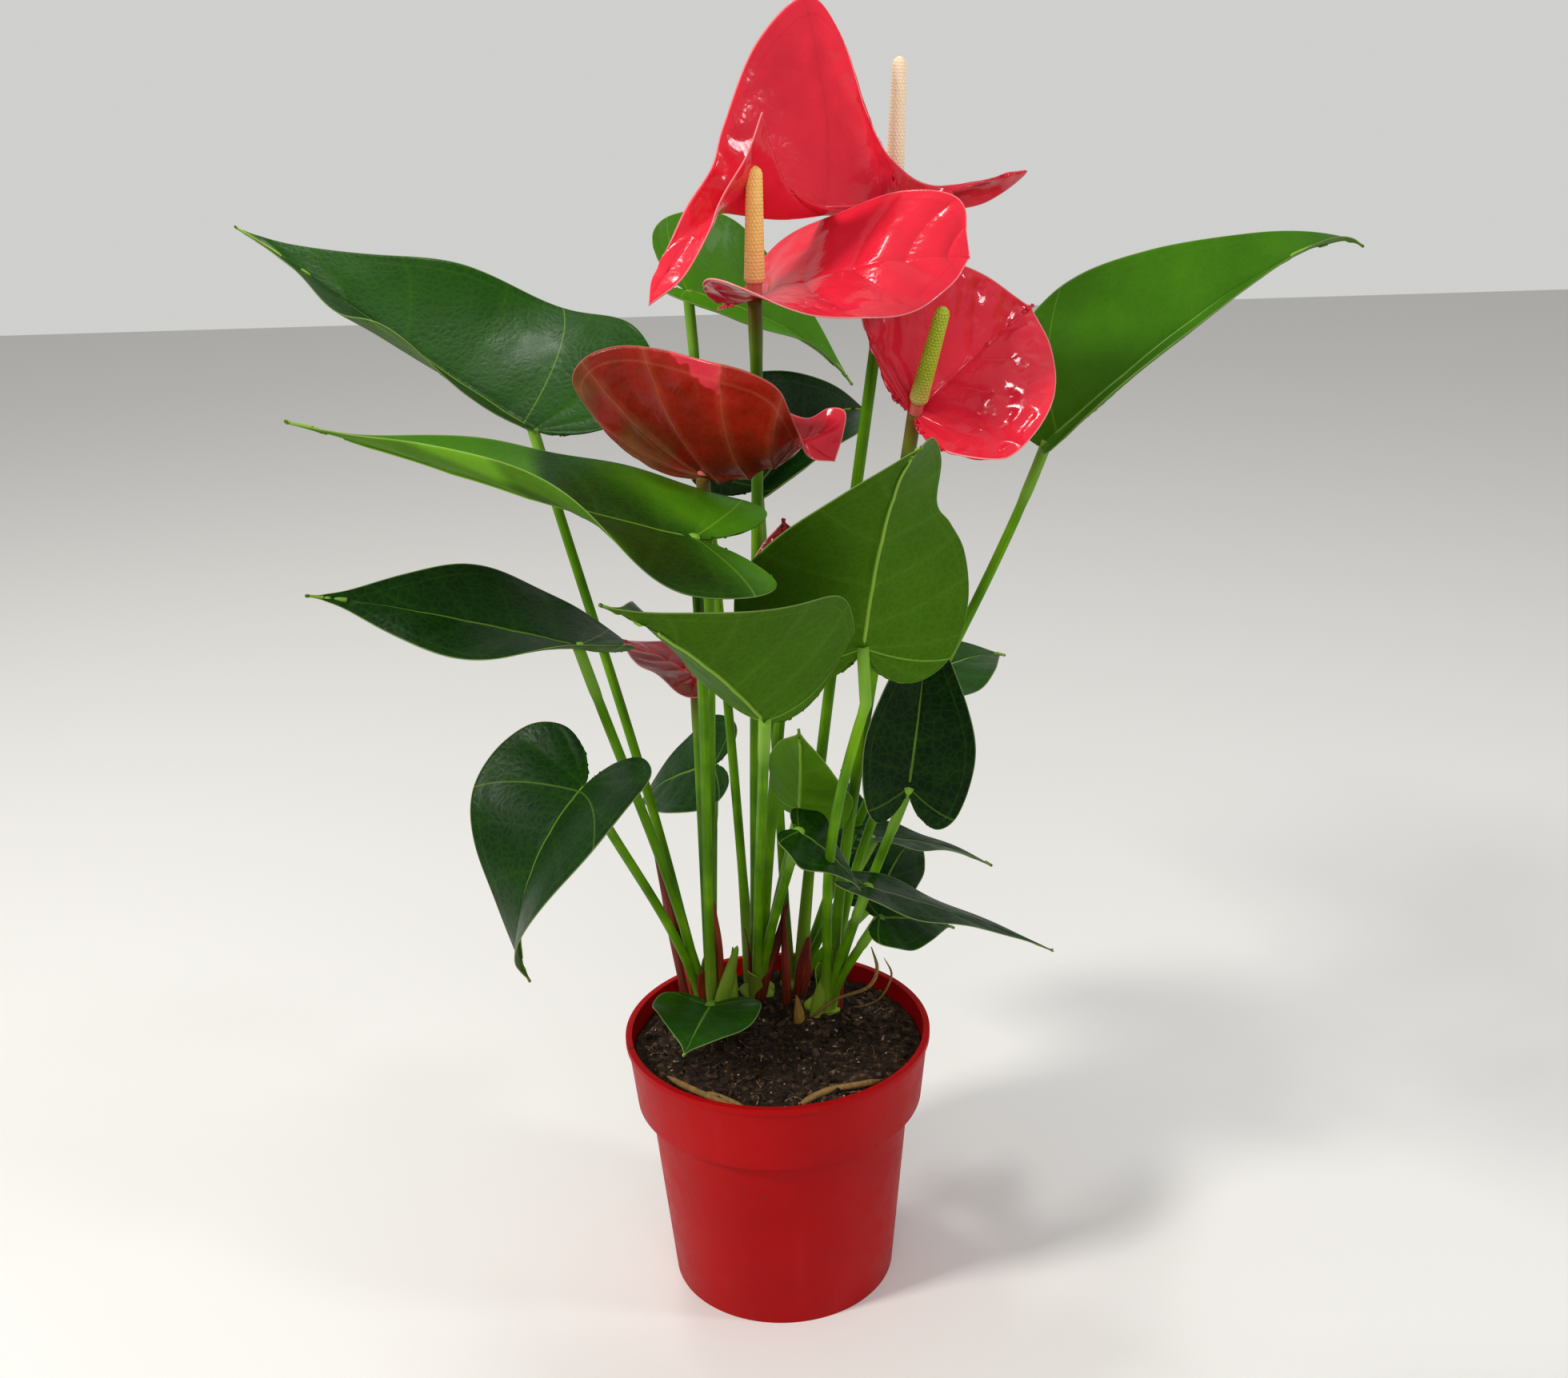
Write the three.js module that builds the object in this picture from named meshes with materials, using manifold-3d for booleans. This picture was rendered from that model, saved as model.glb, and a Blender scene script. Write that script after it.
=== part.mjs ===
// A potted anthurium (flamingo flower) in a 120 mm plastic nursery pot. Millimetres, +Z up.
// The origin is the centre of the pot's foot, on the surface that it stands on.
//
// The plant is a clump of short crowns. Each crown is one solid: the shoot base, which stands in a
// plain hole in the potting mix, and the stalks that grow out of it. Every leaf blade, spathe and
// spadix is its own solid at the end of its stalk. Young shoots and dry sheaths stand beside the crowns.
import * as THREE from "three";
import { mergeVertices } from "three/addons/utils/BufferGeometryUtils.js";
import Module from "manifold-3d";

const wasm = await Module();
wasm.setup();

// ---------------------------------------------------------------- driving dimensions
const SEAT_GAP = 0.3; // between two pieces that touch on the real plant

const POT = {
  rimRadius: 60, // outside, at the lip
  bandFootRadius: 56.5, // outside, at the lower edge of the rim band
  bodyTopRadius: 51.5, // outside, just under the band
  footRadius: 44.5, // outside, at the foot
  height: 107,
  bandHeight: 28,
  bandSlope: 2, // height of the slope that leads back to the body under the band
  wall: 1.6,
  lip: 0.9, // how far the lip stands proud of the band
  lipHeight: 2.4,
  lipSlope: 0.6,
  footRise: 3, // the underside is dished up inside the foot ring
  footRing: 6, // width of the foot ring
  footSlope: 1, // how far the sides of the dish lean
  footPad: 9, // radius of the flat pad in the middle of the underside
  drainHoles: 6,
  drainRadius: 4,
  drainCircle: 28,
  drainSides: 12,
  facets: 40,
};

const SOIL_TOP = 100; // mean height of the potting mix, 7 mm under the lip
const SOIL_LUMP = 1.2; // lumps on the surface of the mix
const SOIL_RINGS = 6;
const SOIL_CLEAR = 0.5; // between the mix and the pot's wall

const BLADE_THICK = 0.8;
const LARGE_BLADE = [10, 3]; // rays in each half of a blade, and steps from the midrib to the margin
const SMALL_BLADE = [8, 2]; // the same for a blade under SMALL_LENGTH
const SMALL_LENGTH = 70;
const MIDRIB_START = 0.42; // share of the rays that fan out of the joint itself
const MIDRIB_REACH = 0.86; // the last ray leaves the midrib here
const FULL_SAG = 30; // a ray of a sheet sags fully from this length on
const LOBE_SHARE = 0.25; // behind the joint, the lobes bend by their full angle over this share
const WAVE_SHIFT = 0.35; // how much later the waves of the right margin start, in waves

const STALK_SIDES = 7;
const STALK_STEPS = 8;
const PETIOLE_RADIUS = 1.9; // at the top of a leaf's stalk
const PEDUNCLE_RADIUS = 2.2; // at the top of a flower's stalk
const SHEATH_RADIUS = 3.2; // where a stalk leaves its crown
const SHEATH_SHARE = 0.2; // share of the stalk that the sheath takes
const STALK_BOW = 0.35; // how far a stalk's own direction reaches from either end, as a share of it
const STALK_UPRIGHT = 0.35; // how much a stalk starts upwards instead of straight at its blade
const KNEE_LENGTH = 8; // the end of a stalk that is one piece with its blade
const KNEE_SWELL = 1.15;
const SPADIX_SEAT = 5; // the spadix stands on a boss this high above the spathe
const SPADIX_TAPER = 0.3; // how much slimmer a spadix is near its end
const FLORET_RELIEF = 0.25;
const SPADIX_SIDES = 10;
const SPADIX_STEPS = 11;
const CROWN_DEPTH = 9; // how deep a crown stands in the mix
const CROWN_RISE = 4;
const CROWN_EDGE = 0.6; // from the sheaths to the crown's edge
const CROWN_SIDES = 12;
const HOLE_ABOVE = 20; // the tools that cut holes in the mix reach this far above it
const SHOOT_DEPTH = 8;
const SHOOT_SIDES = 8;
const SHOOT_STEPS = 5;

const rad = THREE.MathUtils.degToRad;

// ---------------------------------------------------------------- the plant, measured
// Outlines are half blades, from the notch at the joint round the lobe to the tip: share of the
// length along the midrib, share of the half width across it.
const LEAF_OUTLINE = [
  [-0.03, 0], [-0.15, 0.25], [-0.2, 0.54], [-0.13, 0.82], [0.04, 0.98],
  [0.24, 0.97], [0.46, 0.74], [0.68, 0.4], [0.86, 0.13], [1, 0],
];
const SPATHE_OUTLINE = [
  [-0.03, 0], [-0.18, 0.2], [-0.26, 0.5], [-0.18, 0.82], [0.04, 1],
  [0.28, 0.97], [0.52, 0.76], [0.74, 0.46], [0.9, 0.17], [1, 0],
];

const CROWNS = [
  { name: "crown_front", at: [-27, 30], radius: 8 },
  { name: "crown_middle", at: [-8, 40], radius: 8 },
  { name: "crown_rear", at: [8, 46], radius: 6.5 },
  { name: "crown_right", at: [19, 26], radius: 8 },
];

// Shoots and dry sheaths beside the crowns, each in a hole of its own: foot on the mix, tip, and radius
// at the widest.
const SHOOTS = [
  { name: "shoot_left", foot: [-38, 33], tip: [-43, 34, 168], radius: 2.2, colour: "#5e2418" },
  { name: "sheath_front", foot: [-18, 20], tip: [-17, 21, 131], radius: 2.2, colour: "#93b93c" },
  { name: "sheath_middle", foot: [4, 29], tip: [4, 26, 146], radius: 1.8, colour: "#6b2a1a" },
  { name: "stub_old", foot: [9, 14], tip: [8, 14, 112], radius: 2.2, colour: "#b39a6e" },
];

// crown: the number of the crown that it grows from. joint: where the stalk meets the blade. heading,
// pitch, roll: which way the midrib runs (0 = +X, 90 = +Y), how steeply it climbs, and how far the left
// half is raised about it. fold, cup: slope of the left and the right half at the midrib, and how much
// more each turns up by its margin. furl: what the cup gains by the tip. droop, curl: how far the
// midrib bends down by the tip, evenly and near the end. lobes: how far the lobes bend up behind the
// joint. twist: turn about the midrib by the tip, left half up. wave: height, count and start of the
// margin's waves. upright, arrive: how a stalk starts, and the way it points at its blade, where these
// aren't plain. Angles are in degrees.
const LEAVES = [
  { name: "leaf_upper_left", crown: 0, joint: [-80, 10, 345], length: 157, width: 112,
    heading: 144, pitch: 21, roll: -15, fold: [40, 18], cup: [8, -2], droop: -14, curl: 14,
    furl: 14, lobes: 17, twist: 1, wave: [6.6, 1.6, -0.03] },
  { name: "leaf_upper_right", crown: 3, joint: [103, 10, 335], length: 155, width: 86,
    heading: 4, pitch: 41, roll: 47, fold: [3, 53], cup: [9, 15], droop: 17, curl: 55,
    furl: -2, lobes: 12, twist: -4, wave: [2.1, 1.4, -0.21], upright: 0.9, arrive: [0.35, -0.1, 1] },
  { name: "leaf_twisted_left", crown: 0, joint: [-21, -88, 329], length: 121, width: 99,
    heading: 185, pitch: 16, roll: -9, fold: [7, 7], cup: [-4, -19], droop: -13, curl: 12,
    furl: 174, lobes: 5, twist: 23, wave: [2.7, 1.6, -0.34], arrive: [0, -0.7, 1] },
  { name: "leaf_middle_left", crown: 0, joint: [-65, -30, 277], length: 90, width: 68,
    heading: 188, pitch: 18, roll: 0, fold: [9, 5], cup: [17, 2], droop: 2, curl: 6,
    furl: 3, lobes: 12, twist: -60, wave: [1.8, 1.5, 0.06] },
  { name: "leaf_lower_left", crown: 0, joint: [-67, -25, 222], length: 78, width: 84,
    heading: 225, pitch: -29, roll: -11, fold: [36, -1], cup: [-19, 14], droop: 89, curl: 18,
    furl: -5, lobes: 11, twist: 22, wave: [1.4, 1.4, 0.28] },
  { name: "leaf_centre_front", crown: 1, joint: [-1, -85, 268], length: 106, width: 84,
    heading: 241, pitch: 44, roll: 1, fold: [46, 15], cup: [24, 15], droop: 17, curl: 0,
    furl: -43, lobes: 41, twist: -23, wave: [2.6, 1.4, -0.02] },
  { name: "leaf_centre_right", crown: 3, joint: [32, -60, 283], length: 103, width: 87,
    heading: 290, pitch: 74, roll: -12, fold: [16, 8], cup: [13, 12], droop: 34, curl: 22,
    furl: 5, lobes: 12, twist: 28, wave: [-0.2, 1.5, 0.02] },
  { name: "leaf_dark_right", crown: 3, joint: [51, -14, 213], length: 72, width: 46,
    heading: 57, pitch: 72, roll: 42, fold: [16, 15], cup: [17, 15], droop: 11, curl: 12,
    furl: -9, lobes: 11, twist: -7, wave: [1.7, 1.4, -0.57] },
  { name: "leaf_top_rear", crown: 1, joint: [-25, 62, 386], length: 87, width: 67,
    heading: 23, pitch: -18, roll: 35, fold: [22, 18], cup: [15, 16], droop: 24, curl: 12,
    furl: 0, lobes: 13, twist: -5, wave: [1.5, 1.5, 0.09] },
  { name: "leaf_dark_rear", crown: 2, joint: [-1, 45, 314], length: 87, width: 70,
    heading: 51, pitch: 33, roll: 12, fold: [30, 29], cup: [19, 16], droop: 38, curl: 20,
    furl: 4, lobes: 18, twist: 35, wave: [1.6, 1.3, -0.12] },
  { name: "leaf_left_rear", crown: 0, joint: [-23, 62, 194], length: 61, width: 46,
    heading: 145, pitch: -22, roll: -42, fold: [0, 2], cup: [8, 10], droop: 26, curl: 10,
    furl: -3, lobes: 11, twist: 13, wave: [1.6, 1.4, -0.09] },
  { name: "leaf_right_rear", crown: 2, joint: [62, 62, 228], length: 63, width: 44,
    heading: 44, pitch: 7, roll: 21, fold: [7, 7], cup: [11, 11], droop: 23, curl: 9,
    furl: -1, lobes: 12, twist: -6, wave: [1.5, 1.5, 0.06] },
  { name: "leaf_right_slim", crown: 2, joint: [42, 41, 168], length: 56, width: 26,
    heading: 18, pitch: -11, roll: 0, fold: [1, 4], cup: [8, 9], droop: 19, curl: 8,
    furl: -2, lobes: 12, twist: 1, wave: [1.6, 1.5, -0.03] },
  { name: "leaf_right_long", crown: 3, joint: [35, -24, 178], length: 77, width: 31,
    heading: 7, pitch: -21, roll: -2, fold: [-5, -5], cup: [5, 5], droop: 7, curl: 3,
    furl: -4, lobes: 12, twist: -3, wave: [1.6, 1.5, 0.04] },
  { name: "leaf_right_low", crown: 3, joint: [40, -12, 159], length: 39, width: 32,
    heading: 25, pitch: -13, roll: 35, fold: [2, 3], cup: [10, 9], droop: 22, curl: 7,
    furl: -2, lobes: 11, twist: -15, wave: [1.4, 1.5, -0.01] },
  { name: "leaf_middle_dark", crown: 1, joint: [10, -30, 204], length: 31, width: 38,
    heading: -14, pitch: -31, roll: 5, fold: [-7, -3], cup: [7, 7], droop: 24, curl: 8,
    furl: -9, lobes: 12, twist: -8, wave: [1.6, 1.5, 0] },
  { name: "leaf_middle_erect", crown: 1, joint: [11, -2, 201], length: 54, width: 39,
    heading: 276, pitch: 61, roll: -28, fold: [3, 21], cup: [8, 18], droop: 13, curl: 8,
    furl: -2, lobes: 12, twist: -6, wave: [1.7, 1.5, 0.01] },
  { name: "leaf_right_brown", crown: 2, joint: [33, 70, 151], length: 39, width: 29,
    heading: 96, pitch: 42, roll: -20, fold: [6, 15], cup: [11, 14], droop: 16, curl: 5,
    furl: -2, lobes: 12, twist: -5, wave: [1.6, 1.5, -0.06] },
  { name: "leaf_right_shade", crown: 2, joint: [45, 60, 132], length: 45, width: 38,
    heading: 61, pitch: 37, roll: 2, fold: [15, 15], cup: [13, 15], droop: 39, curl: 22,
    furl: 2, lobes: 10, twist: 3, wave: [1.5, 1.5, -0.11] },
  { name: "leaf_rim_front", crown: 0, joint: [-26, -8, 121], length: 39, width: 43,
    heading: 257, pitch: 7, roll: 1, fold: [1, 2], cup: [10, 11], droop: 10, curl: -3,
    furl: -7, lobes: 12, twist: -14, wave: [1.4, 1.6, 0.09] },
];

// Two spathes are too waved for those values. Their midribs and margins are given as points, from the
// joint round the lobe to the tip. belly is how far each half sags between them.
const TOP_SPATHE = {
  midrib: [
    [48, 5, 418], [29, -12, 428], [12, -30, 441], [-1, -50, 440], [-14, -66, 424], [-25, -72, 408],
    [-32, -70, 397],
  ],
  left: [
    [48, 5, 418], [62, 16, 416], [82, 28, 417], [98, 36, 427], [79, 22, 425], [61, 8, 425], [48, -6, 433],
    [39, -8, 447], [30, -8, 474], [19, -10, 485], [3, -18, 471], [-5, -42, 451], [-16, -66, 429],
    [-27, -76, 411], [-32, -70, 397],
  ],
  right: [
    [48, 5, 418], [41, 2, 417], [27, -6, 418], [12, -12, 419], [-1, -18, 420], [-8, -25, 424],
    [-8, -36, 433], [-2, -54, 440], [-9, -70, 426], [-18, -76, 407], [-32, -70, 397],
  ],
  belly: [-8, -4],
};
const LEFT_SPATHE = {
  midrib: [
    [-19, -38, 337], [-9, -44, 337], [0, -50, 341], [7, -54, 345], [13, -55, 351], [19, -55, 348],
    [24, -54, 344],
  ],
  left: [
    [-19, -38, 337], [-21, -33, 338], [-26, -25, 342], [-30, -18, 351], [-30, -14, 361], [-22, -14, 366],
    [-12, -16, 365], [-2, -22, 362], [7, -32, 358], [16, -42, 356], [23, -47, 360], [28, -49, 359],
    [27, -51, 352], [24, -54, 344],
  ],
  right: [
    [-19, -38, 337], [-23, -37, 338], [-30, -36, 340], [-45, -34, 346], [-55, -30, 357], [-61, -28, 368],
    [-56, -30, 376], [-45, -34, 380], [-32, -42, 380], [-19, -52, 378], [-4, -60, 375], [6, -64, 370],
    [10, -64, 362], [13, -60, 354], [16, -57, 346], [24, -54, 344],
  ],
  belly: [-5, -7],
};

// A bloom has a spadix as well: its length, its radius, and the way that it leans.
const BLOOMS = [
  { name: "bloom_top", crown: 2, joint: [48, 5, 418], length: 120, sheet: TOP_SPATHE,
    spadix: { length: 43, radius: 3.3, lean: [0.05, 0, 1] } },
  { name: "bloom_centre", crown: 1, joint: [0, -42, 395], length: 68, width: 86,
    heading: -1, pitch: 16, roll: -10, fold: [9, -3], cup: [11, 6], droop: 8, curl: 12,
    furl: -11, lobes: 14, twist: 57, wave: [1.9, 1.4, 0.12], upright: 1, arrive: [0, -0.8, 1],
    spadix: { length: 35, radius: 3.4, lean: [0.03, -0.04, 1], colour: "#eab04e" } },
  { name: "bloom_right", crown: 3, joint: [51, -40, 356], length: 67, width: 83,
    heading: 38, pitch: 30, roll: 45, fold: [40, 23], cup: [12, 13], droop: 10, curl: 10,
    furl: 1, lobes: 26, twist: 1, wave: [1.6, 1.5, 0.36],
    spadix: { length: 34, radius: 3.2, lean: [0.2, -0.35, 0.9], colour: "#a3ab38" } },
  { name: "bloom_left", crown: 0, joint: [-19, -38, 337], length: 90, sheet: LEFT_SPATHE,
    upright: 0.7, arrive: [0, -0.6, 1],
    spadix: { length: 24, radius: 2.8, lean: [0.25, 0.06, 1] }, colour: "#a8281e" },
  { name: "bloom_shade", crown: 1, joint: [9, -2, 280], length: 32, width: 36,
    heading: 90, pitch: 75, roll: 10, fold: [12, 12], cup: [10, 9], droop: 20, curl: 5,
    furl: -9, lobes: 12, twist: 0, wave: [1.5, 1.6, 0.07],
    spadix: { length: 18, radius: 2.4, lean: [0, -0.6, 1] }, colour: "#7d1a18" },
  { name: "bloom_low", crown: 0, joint: [-27, 22, 246], length: 40, width: 36,
    heading: 146, pitch: 21, roll: -5, fold: [6, 1], cup: [10, 11], droop: 15, curl: 3,
    furl: -4, lobes: 12, twist: 14, wave: [1.5, 1.5, 0.05],
    spadix: { length: 20, radius: 2.4, lean: [0.3, -0.2, 0.9] }, colour: "#a01c20" },
];

// ---------------------------------------------------------------- solids
// A geometry as a manifold-3d solid, from its positions alone.
function solid(geometry) {
  const bare = geometry.clone();
  for (const name of ["normal", "uv"]) bare.deleteAttribute(name);
  const merged = mergeVertices(bare, 1e-4);
  return new wasm.Manifold(
    new wasm.Mesh({
      numProp: 3,
      vertProperties: new Float32Array(merged.attributes.position.array),
      triVerts: new Uint32Array(merged.index.array),
    }),
  );
}

// A manifold-3d solid as a geometry.
function geometryOf(made) {
  const { numProp, numVert, vertProperties, triVerts } = made.getMesh();
  const position = new Float32Array(numVert * 3);
  for (let i = 0; i < numVert; i++) {
    const from = i * numProp;
    position.set(vertProperties.subarray(from, from + 3), i * 3);
  }
  return new THREE.BufferGeometry()
    .setAttribute("position", new THREE.BufferAttribute(position, 3))
    .setIndex(new THREE.BufferAttribute(new Uint32Array(triVerts), 1));
}

const union = (solids) => solids.reduce((whole, piece) => whole.add(piece));

// ---------------------------------------------------------------- stalks
// A round bar along a curve, with its radius given by radiusAt(share along, side number).
function bar(curve, radiusAt, sides, steps) {
  const rod = new THREE.CylinderGeometry(1, 1, 1, sides, steps);
  const frames = curve.computeFrenetFrames(steps, false);
  const position = rod.attributes.position;
  const at = new THREE.Vector3();
  for (let i = 0; i < position.count; i++) {
    const step = Math.round((position.getY(i) + 0.5) * steps);
    const [x, z] = [position.getX(i), position.getZ(i)];
    const side = Math.round((Math.atan2(x, z) / (2 * Math.PI)) * sides + sides) % sides;
    const radius = radiusAt(step / steps, side, step);
    at.copy(curve.getPointAt(step / steps))
      .addScaledVector(frames.normals[step], x * radius)
      .addScaledVector(frames.binormals[step], -z * radius);
    position.setXYZ(i, at.x, at.y, at.z);
  }
  return solid(rod);
}

const vector = (list) => new THREE.Vector3(...list);

// The way that a stalk points where it meets its blade.
function arrival(spec) {
  const base = vector([...CROWNS[spec.crown].at, SOIL_TOP]);
  const straight = vector(spec.joint).sub(base).normalize();
  return spec.arrive ? vector(spec.arrive).normalize() : straight;
}

// The centre line of a stalk, from its crown to the start of the knee.
function stalkCurve(spec) {
  const crown = CROWNS[spec.crown];
  const joint = vector(spec.joint);
  const out = new THREE.Vector3(joint.x - crown.at[0], joint.y - crown.at[1], 0).normalize();
  const inset = crown.radius - SHEATH_RADIUS - CROWN_EDGE;
  const base = vector([...crown.at, SOIL_TOP]).addScaledVector(out, inset);
  const way = arrival(spec);
  const end = joint.clone().addScaledVector(way, -(KNEE_LENGTH + SEAT_GAP));
  const reach = end.distanceTo(base);
  const up = new THREE.Vector3(0, 0, 1);
  const start = end.clone().sub(base).normalize().lerp(up, spec.upright ?? STALK_UPRIGHT).normalize();
  return new THREE.CubicBezierCurve3(
    base,
    base.clone().addScaledVector(start, reach * STALK_BOW),
    end.clone().addScaledVector(way, -reach * STALK_BOW),
    end,
  );
}

// A leaf or flower stalk: thick and sheathing at the crown, slim above.
function stalk(spec, radius) {
  return bar(
    stalkCurve(spec),
    (along) => radius + (SHEATH_RADIUS - radius) * Math.max(0, 1 - along / SHEATH_SHARE),
    STALK_SIDES,
    STALK_STEPS,
  );
}

// ---------------------------------------------------------------- blades
// How far the midrib has bent down at x along it, in radians. Behind the joint the lobes bend up.
function bend(spec, x) {
  const share = x / spec.length;
  if (share < 0) return (rad(spec.lobes) * -share) / LOBE_SHARE;
  return rad(spec.droop) * share + rad(spec.curl) * share ** 3;
}

// The midrib's point at x, by adding short steps.
function midrib(spec, x) {
  const steps = 12;
  const step = x / steps;
  let [ahead, up] = [0, 0];
  for (let i = 0; i < steps; i++) {
    const angle = bend(spec, (i + 0.5) * step);
    ahead += Math.cos(angle) * step;
    up -= Math.sin(angle) * step;
  }
  return [ahead, up];
}

// The cross-section: how far out and how high a point lies that is w from the midrib along the blade.
function section(spec, w, side, share) {
  const start = rad(spec.fold[side]);
  const rate = rad(spec.cup[side] + spec.furl * share ** 2) / (spec.width / 2);
  if (Math.abs(rate) < 1e-6) return [w * Math.cos(start), w * Math.sin(start)];
  const end = start + rate * w;
  return [(Math.sin(end) - Math.sin(start)) / rate, (Math.cos(start) - Math.cos(end)) / rate];
}

// The point of a blade's middle surface that lies at (x, y) of its flat shape: x along the midrib,
// y to the left of it.
function bladePoint(spec, x, y) {
  const side = y >= 0 ? 0 : 1;
  const half = spec.width / 2;
  const [out, rise] = section(spec, Math.abs(y), side, Math.max(0, x / spec.length));
  const [height, count, phase] = spec.wave;
  const turns = (count * x) / spec.length + phase + side * WAVE_SHIFT;
  const ripple = height * (y / half) ** 2 * Math.sin(2 * Math.PI * turns);
  const turn = (rad(spec.twist) * x) / spec.length;
  const [across, lift] = [(side ? -1 : 1) * out, rise + ripple];
  const y1 = across * Math.cos(turn) - lift * Math.sin(turn);
  const z1 = across * Math.sin(turn) + lift * Math.cos(turn);
  const [ahead, up] = midrib(spec, x);
  const angle = bend(spec, x);
  const local = [ahead + Math.sin(angle) * z1, y1, up + Math.cos(angle) * z1];

  const [heading, pitch, roll] = [rad(spec.heading), rad(spec.pitch), rad(spec.roll)];
  const forward = new THREE.Vector3(
    Math.cos(heading) * Math.cos(pitch), Math.sin(heading) * Math.cos(pitch), Math.sin(pitch));
  const level = new THREE.Vector3(-Math.sin(heading), Math.cos(heading), 0);
  const above = forward.clone().cross(level);
  const left = level.clone().multiplyScalar(Math.cos(roll)).addScaledVector(above, Math.sin(roll));
  const normal = forward.clone().cross(left);
  return vector(spec.joint)
    .addScaledVector(forward, local[0]).addScaledVector(left, local[1]).addScaledVector(normal, local[2]);
}

// Where a ray leaves the midrib, as a share of it. The rays follow the veins: they leave the midrib
// steeply and curve towards the tip.
const rayRoot = (share) => MIDRIB_REACH * Math.max(0, (share - MIDRIB_START) / (1 - MIDRIB_START)) ** 1.2;

// The middle surface of a blade from its values: a ray's share of the outline, a share of the way
// out along it, and the side (1 left, -1 right).
function bladeSurface(spec, outline) {
  const curve = new THREE.SplineCurve(outline.map((p) => new THREE.Vector2(...p)));
  return (share, out, side) => {
    const end = curve.getPoint(share);
    const [tipX, tipY] = [end.x * spec.length, (end.y * spec.width) / 2];
    const rootX = rayRoot(share) * spec.length;
    const bow = tipX > rootX ? 0.3 : 0.85;
    const [midX, midY] = [rootX + bow * (tipX - rootX), 0.6 * tipY];
    const [a, b, c] = [(1 - out) ** 2, 2 * out * (1 - out), out ** 2];
    return bladePoint(spec, a * rootX + b * midX + c * tipX, side * (b * midY + c * tipY));
  };
}

// The same for a blade that is given by the curves of its midrib and its two margins.
function sheetSurface(sheet) {
  const curve = (points) => new THREE.CatmullRomCurve3(points.map(vector), false, "catmullrom");
  const spine = curve(sheet.midrib);
  const margins = { 1: curve(sheet.left), [-1]: curve(sheet.right) };
  return (share, out, side) => {
    const at = rayRoot(share);
    const root = spine.getPoint(at);
    const along = spine.getPoint(Math.min(1, at + 0.02)).sub(spine.getPoint(Math.max(0, at - 0.02)));
    const end = margins[side].getPoint(share);
    const across = end.clone().sub(root);
    const sag = sheet.belly[side > 0 ? 0 : 1] * Math.min(1, across.length() / FULL_SAG) * (1 - share ** 8);
    const middle = root.clone().addScaledVector(across, 0.45)
      .addScaledVector(along.cross(across).normalize(), sag * side);
    return new THREE.QuadraticBezierCurve3(root, middle, end).getPoint(out);
  };
}

// A blade as a closed shell, the same triangles on both faces.
function blade(surface, rows, columns) {
  const middle = [];
  const seen = new Map();
  const corner = (at) => {
    const key = at.toArray().map((v) => Math.round(v * 50)).join();
    if (!seen.has(key)) seen.set(key, middle.push(at) - 1);
    return seen.get(key);
  };
  const faces = [];
  for (const side of [1, -1]) {
    const grid = [];
    for (let i = 0; i <= rows; i++) {
      grid.push([]);
      for (let j = 0; j <= columns; j++) grid[i].push(corner(surface(i / rows, j / columns, side)));
    }
    for (let i = 0; i < rows; i++)
      for (let j = 0; j < columns; j++) {
        const [a, b, c, d] = [grid[i][j], grid[i + 1][j], grid[i + 1][j + 1], grid[i][j + 1]];
        for (const face of [[a, b, c], [a, c, d]])
          if (new Set(face).size === 3) faces.push(side > 0 ? face : [face[0], face[2], face[1]]);
      }
  }
  const sheet = new THREE.BufferGeometry().setFromPoints(middle).setIndex(faces.flat());
  sheet.computeVertexNormals();
  const normals = sheet.attributes.normal;
  const edges = new Map();
  for (const [a, b, c] of faces)
    for (const [from, to] of [[a, b], [b, c], [c, a]])
      if (!edges.delete(`${to},${from}`)) edges.set(`${from},${to}`, [from, to]);
  const count = middle.length;
  const position = new Float32Array(count * 6);
  middle.forEach((at, i) => {
    const lift = new THREE.Vector3().fromBufferAttribute(normals, i).multiplyScalar(BLADE_THICK / 2);
    at.clone().add(lift).toArray(position, i * 3);
    at.clone().sub(lift).toArray(position, (count + i) * 3);
  });
  const index = [];
  for (const [a, b, c] of faces) index.push(a, b, c, count + a, count + c, count + b);
  for (const [from, to] of edges.values())
    index.push(from, count + to, to, from, count + from, count + to);
  const shell = new THREE.BufferGeometry().setIndex(index);
  return solid(shell.setAttribute("position", new THREE.BufferAttribute(position, 3)));
}

// The knee under a blade, sunk into it, and on a spathe the boss that carries the spadix.
function knee(spec, radius) {
  const joint = vector(spec.joint);
  const way = arrival(spec);
  const below = new THREE.LineCurve3(
    joint.clone().addScaledVector(way, -KNEE_LENGTH),
    joint.clone().addScaledVector(way, BLADE_THICK),
  );
  const foot = bar(below, () => radius * KNEE_SWELL, STALK_SIDES, 1);
  if (!spec.spadix) return foot;
  const above = new THREE.LineCurve3(joint, joint.clone().addScaledVector(seatWay(spec), SPADIX_SEAT));
  return foot.add(bar(above, () => radius, STALK_SIDES, 1));
}

// ---------------------------------------------------------------- spadix
const seatWay = (spec) => vector(spec.spadix.lean).normalize();

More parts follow.
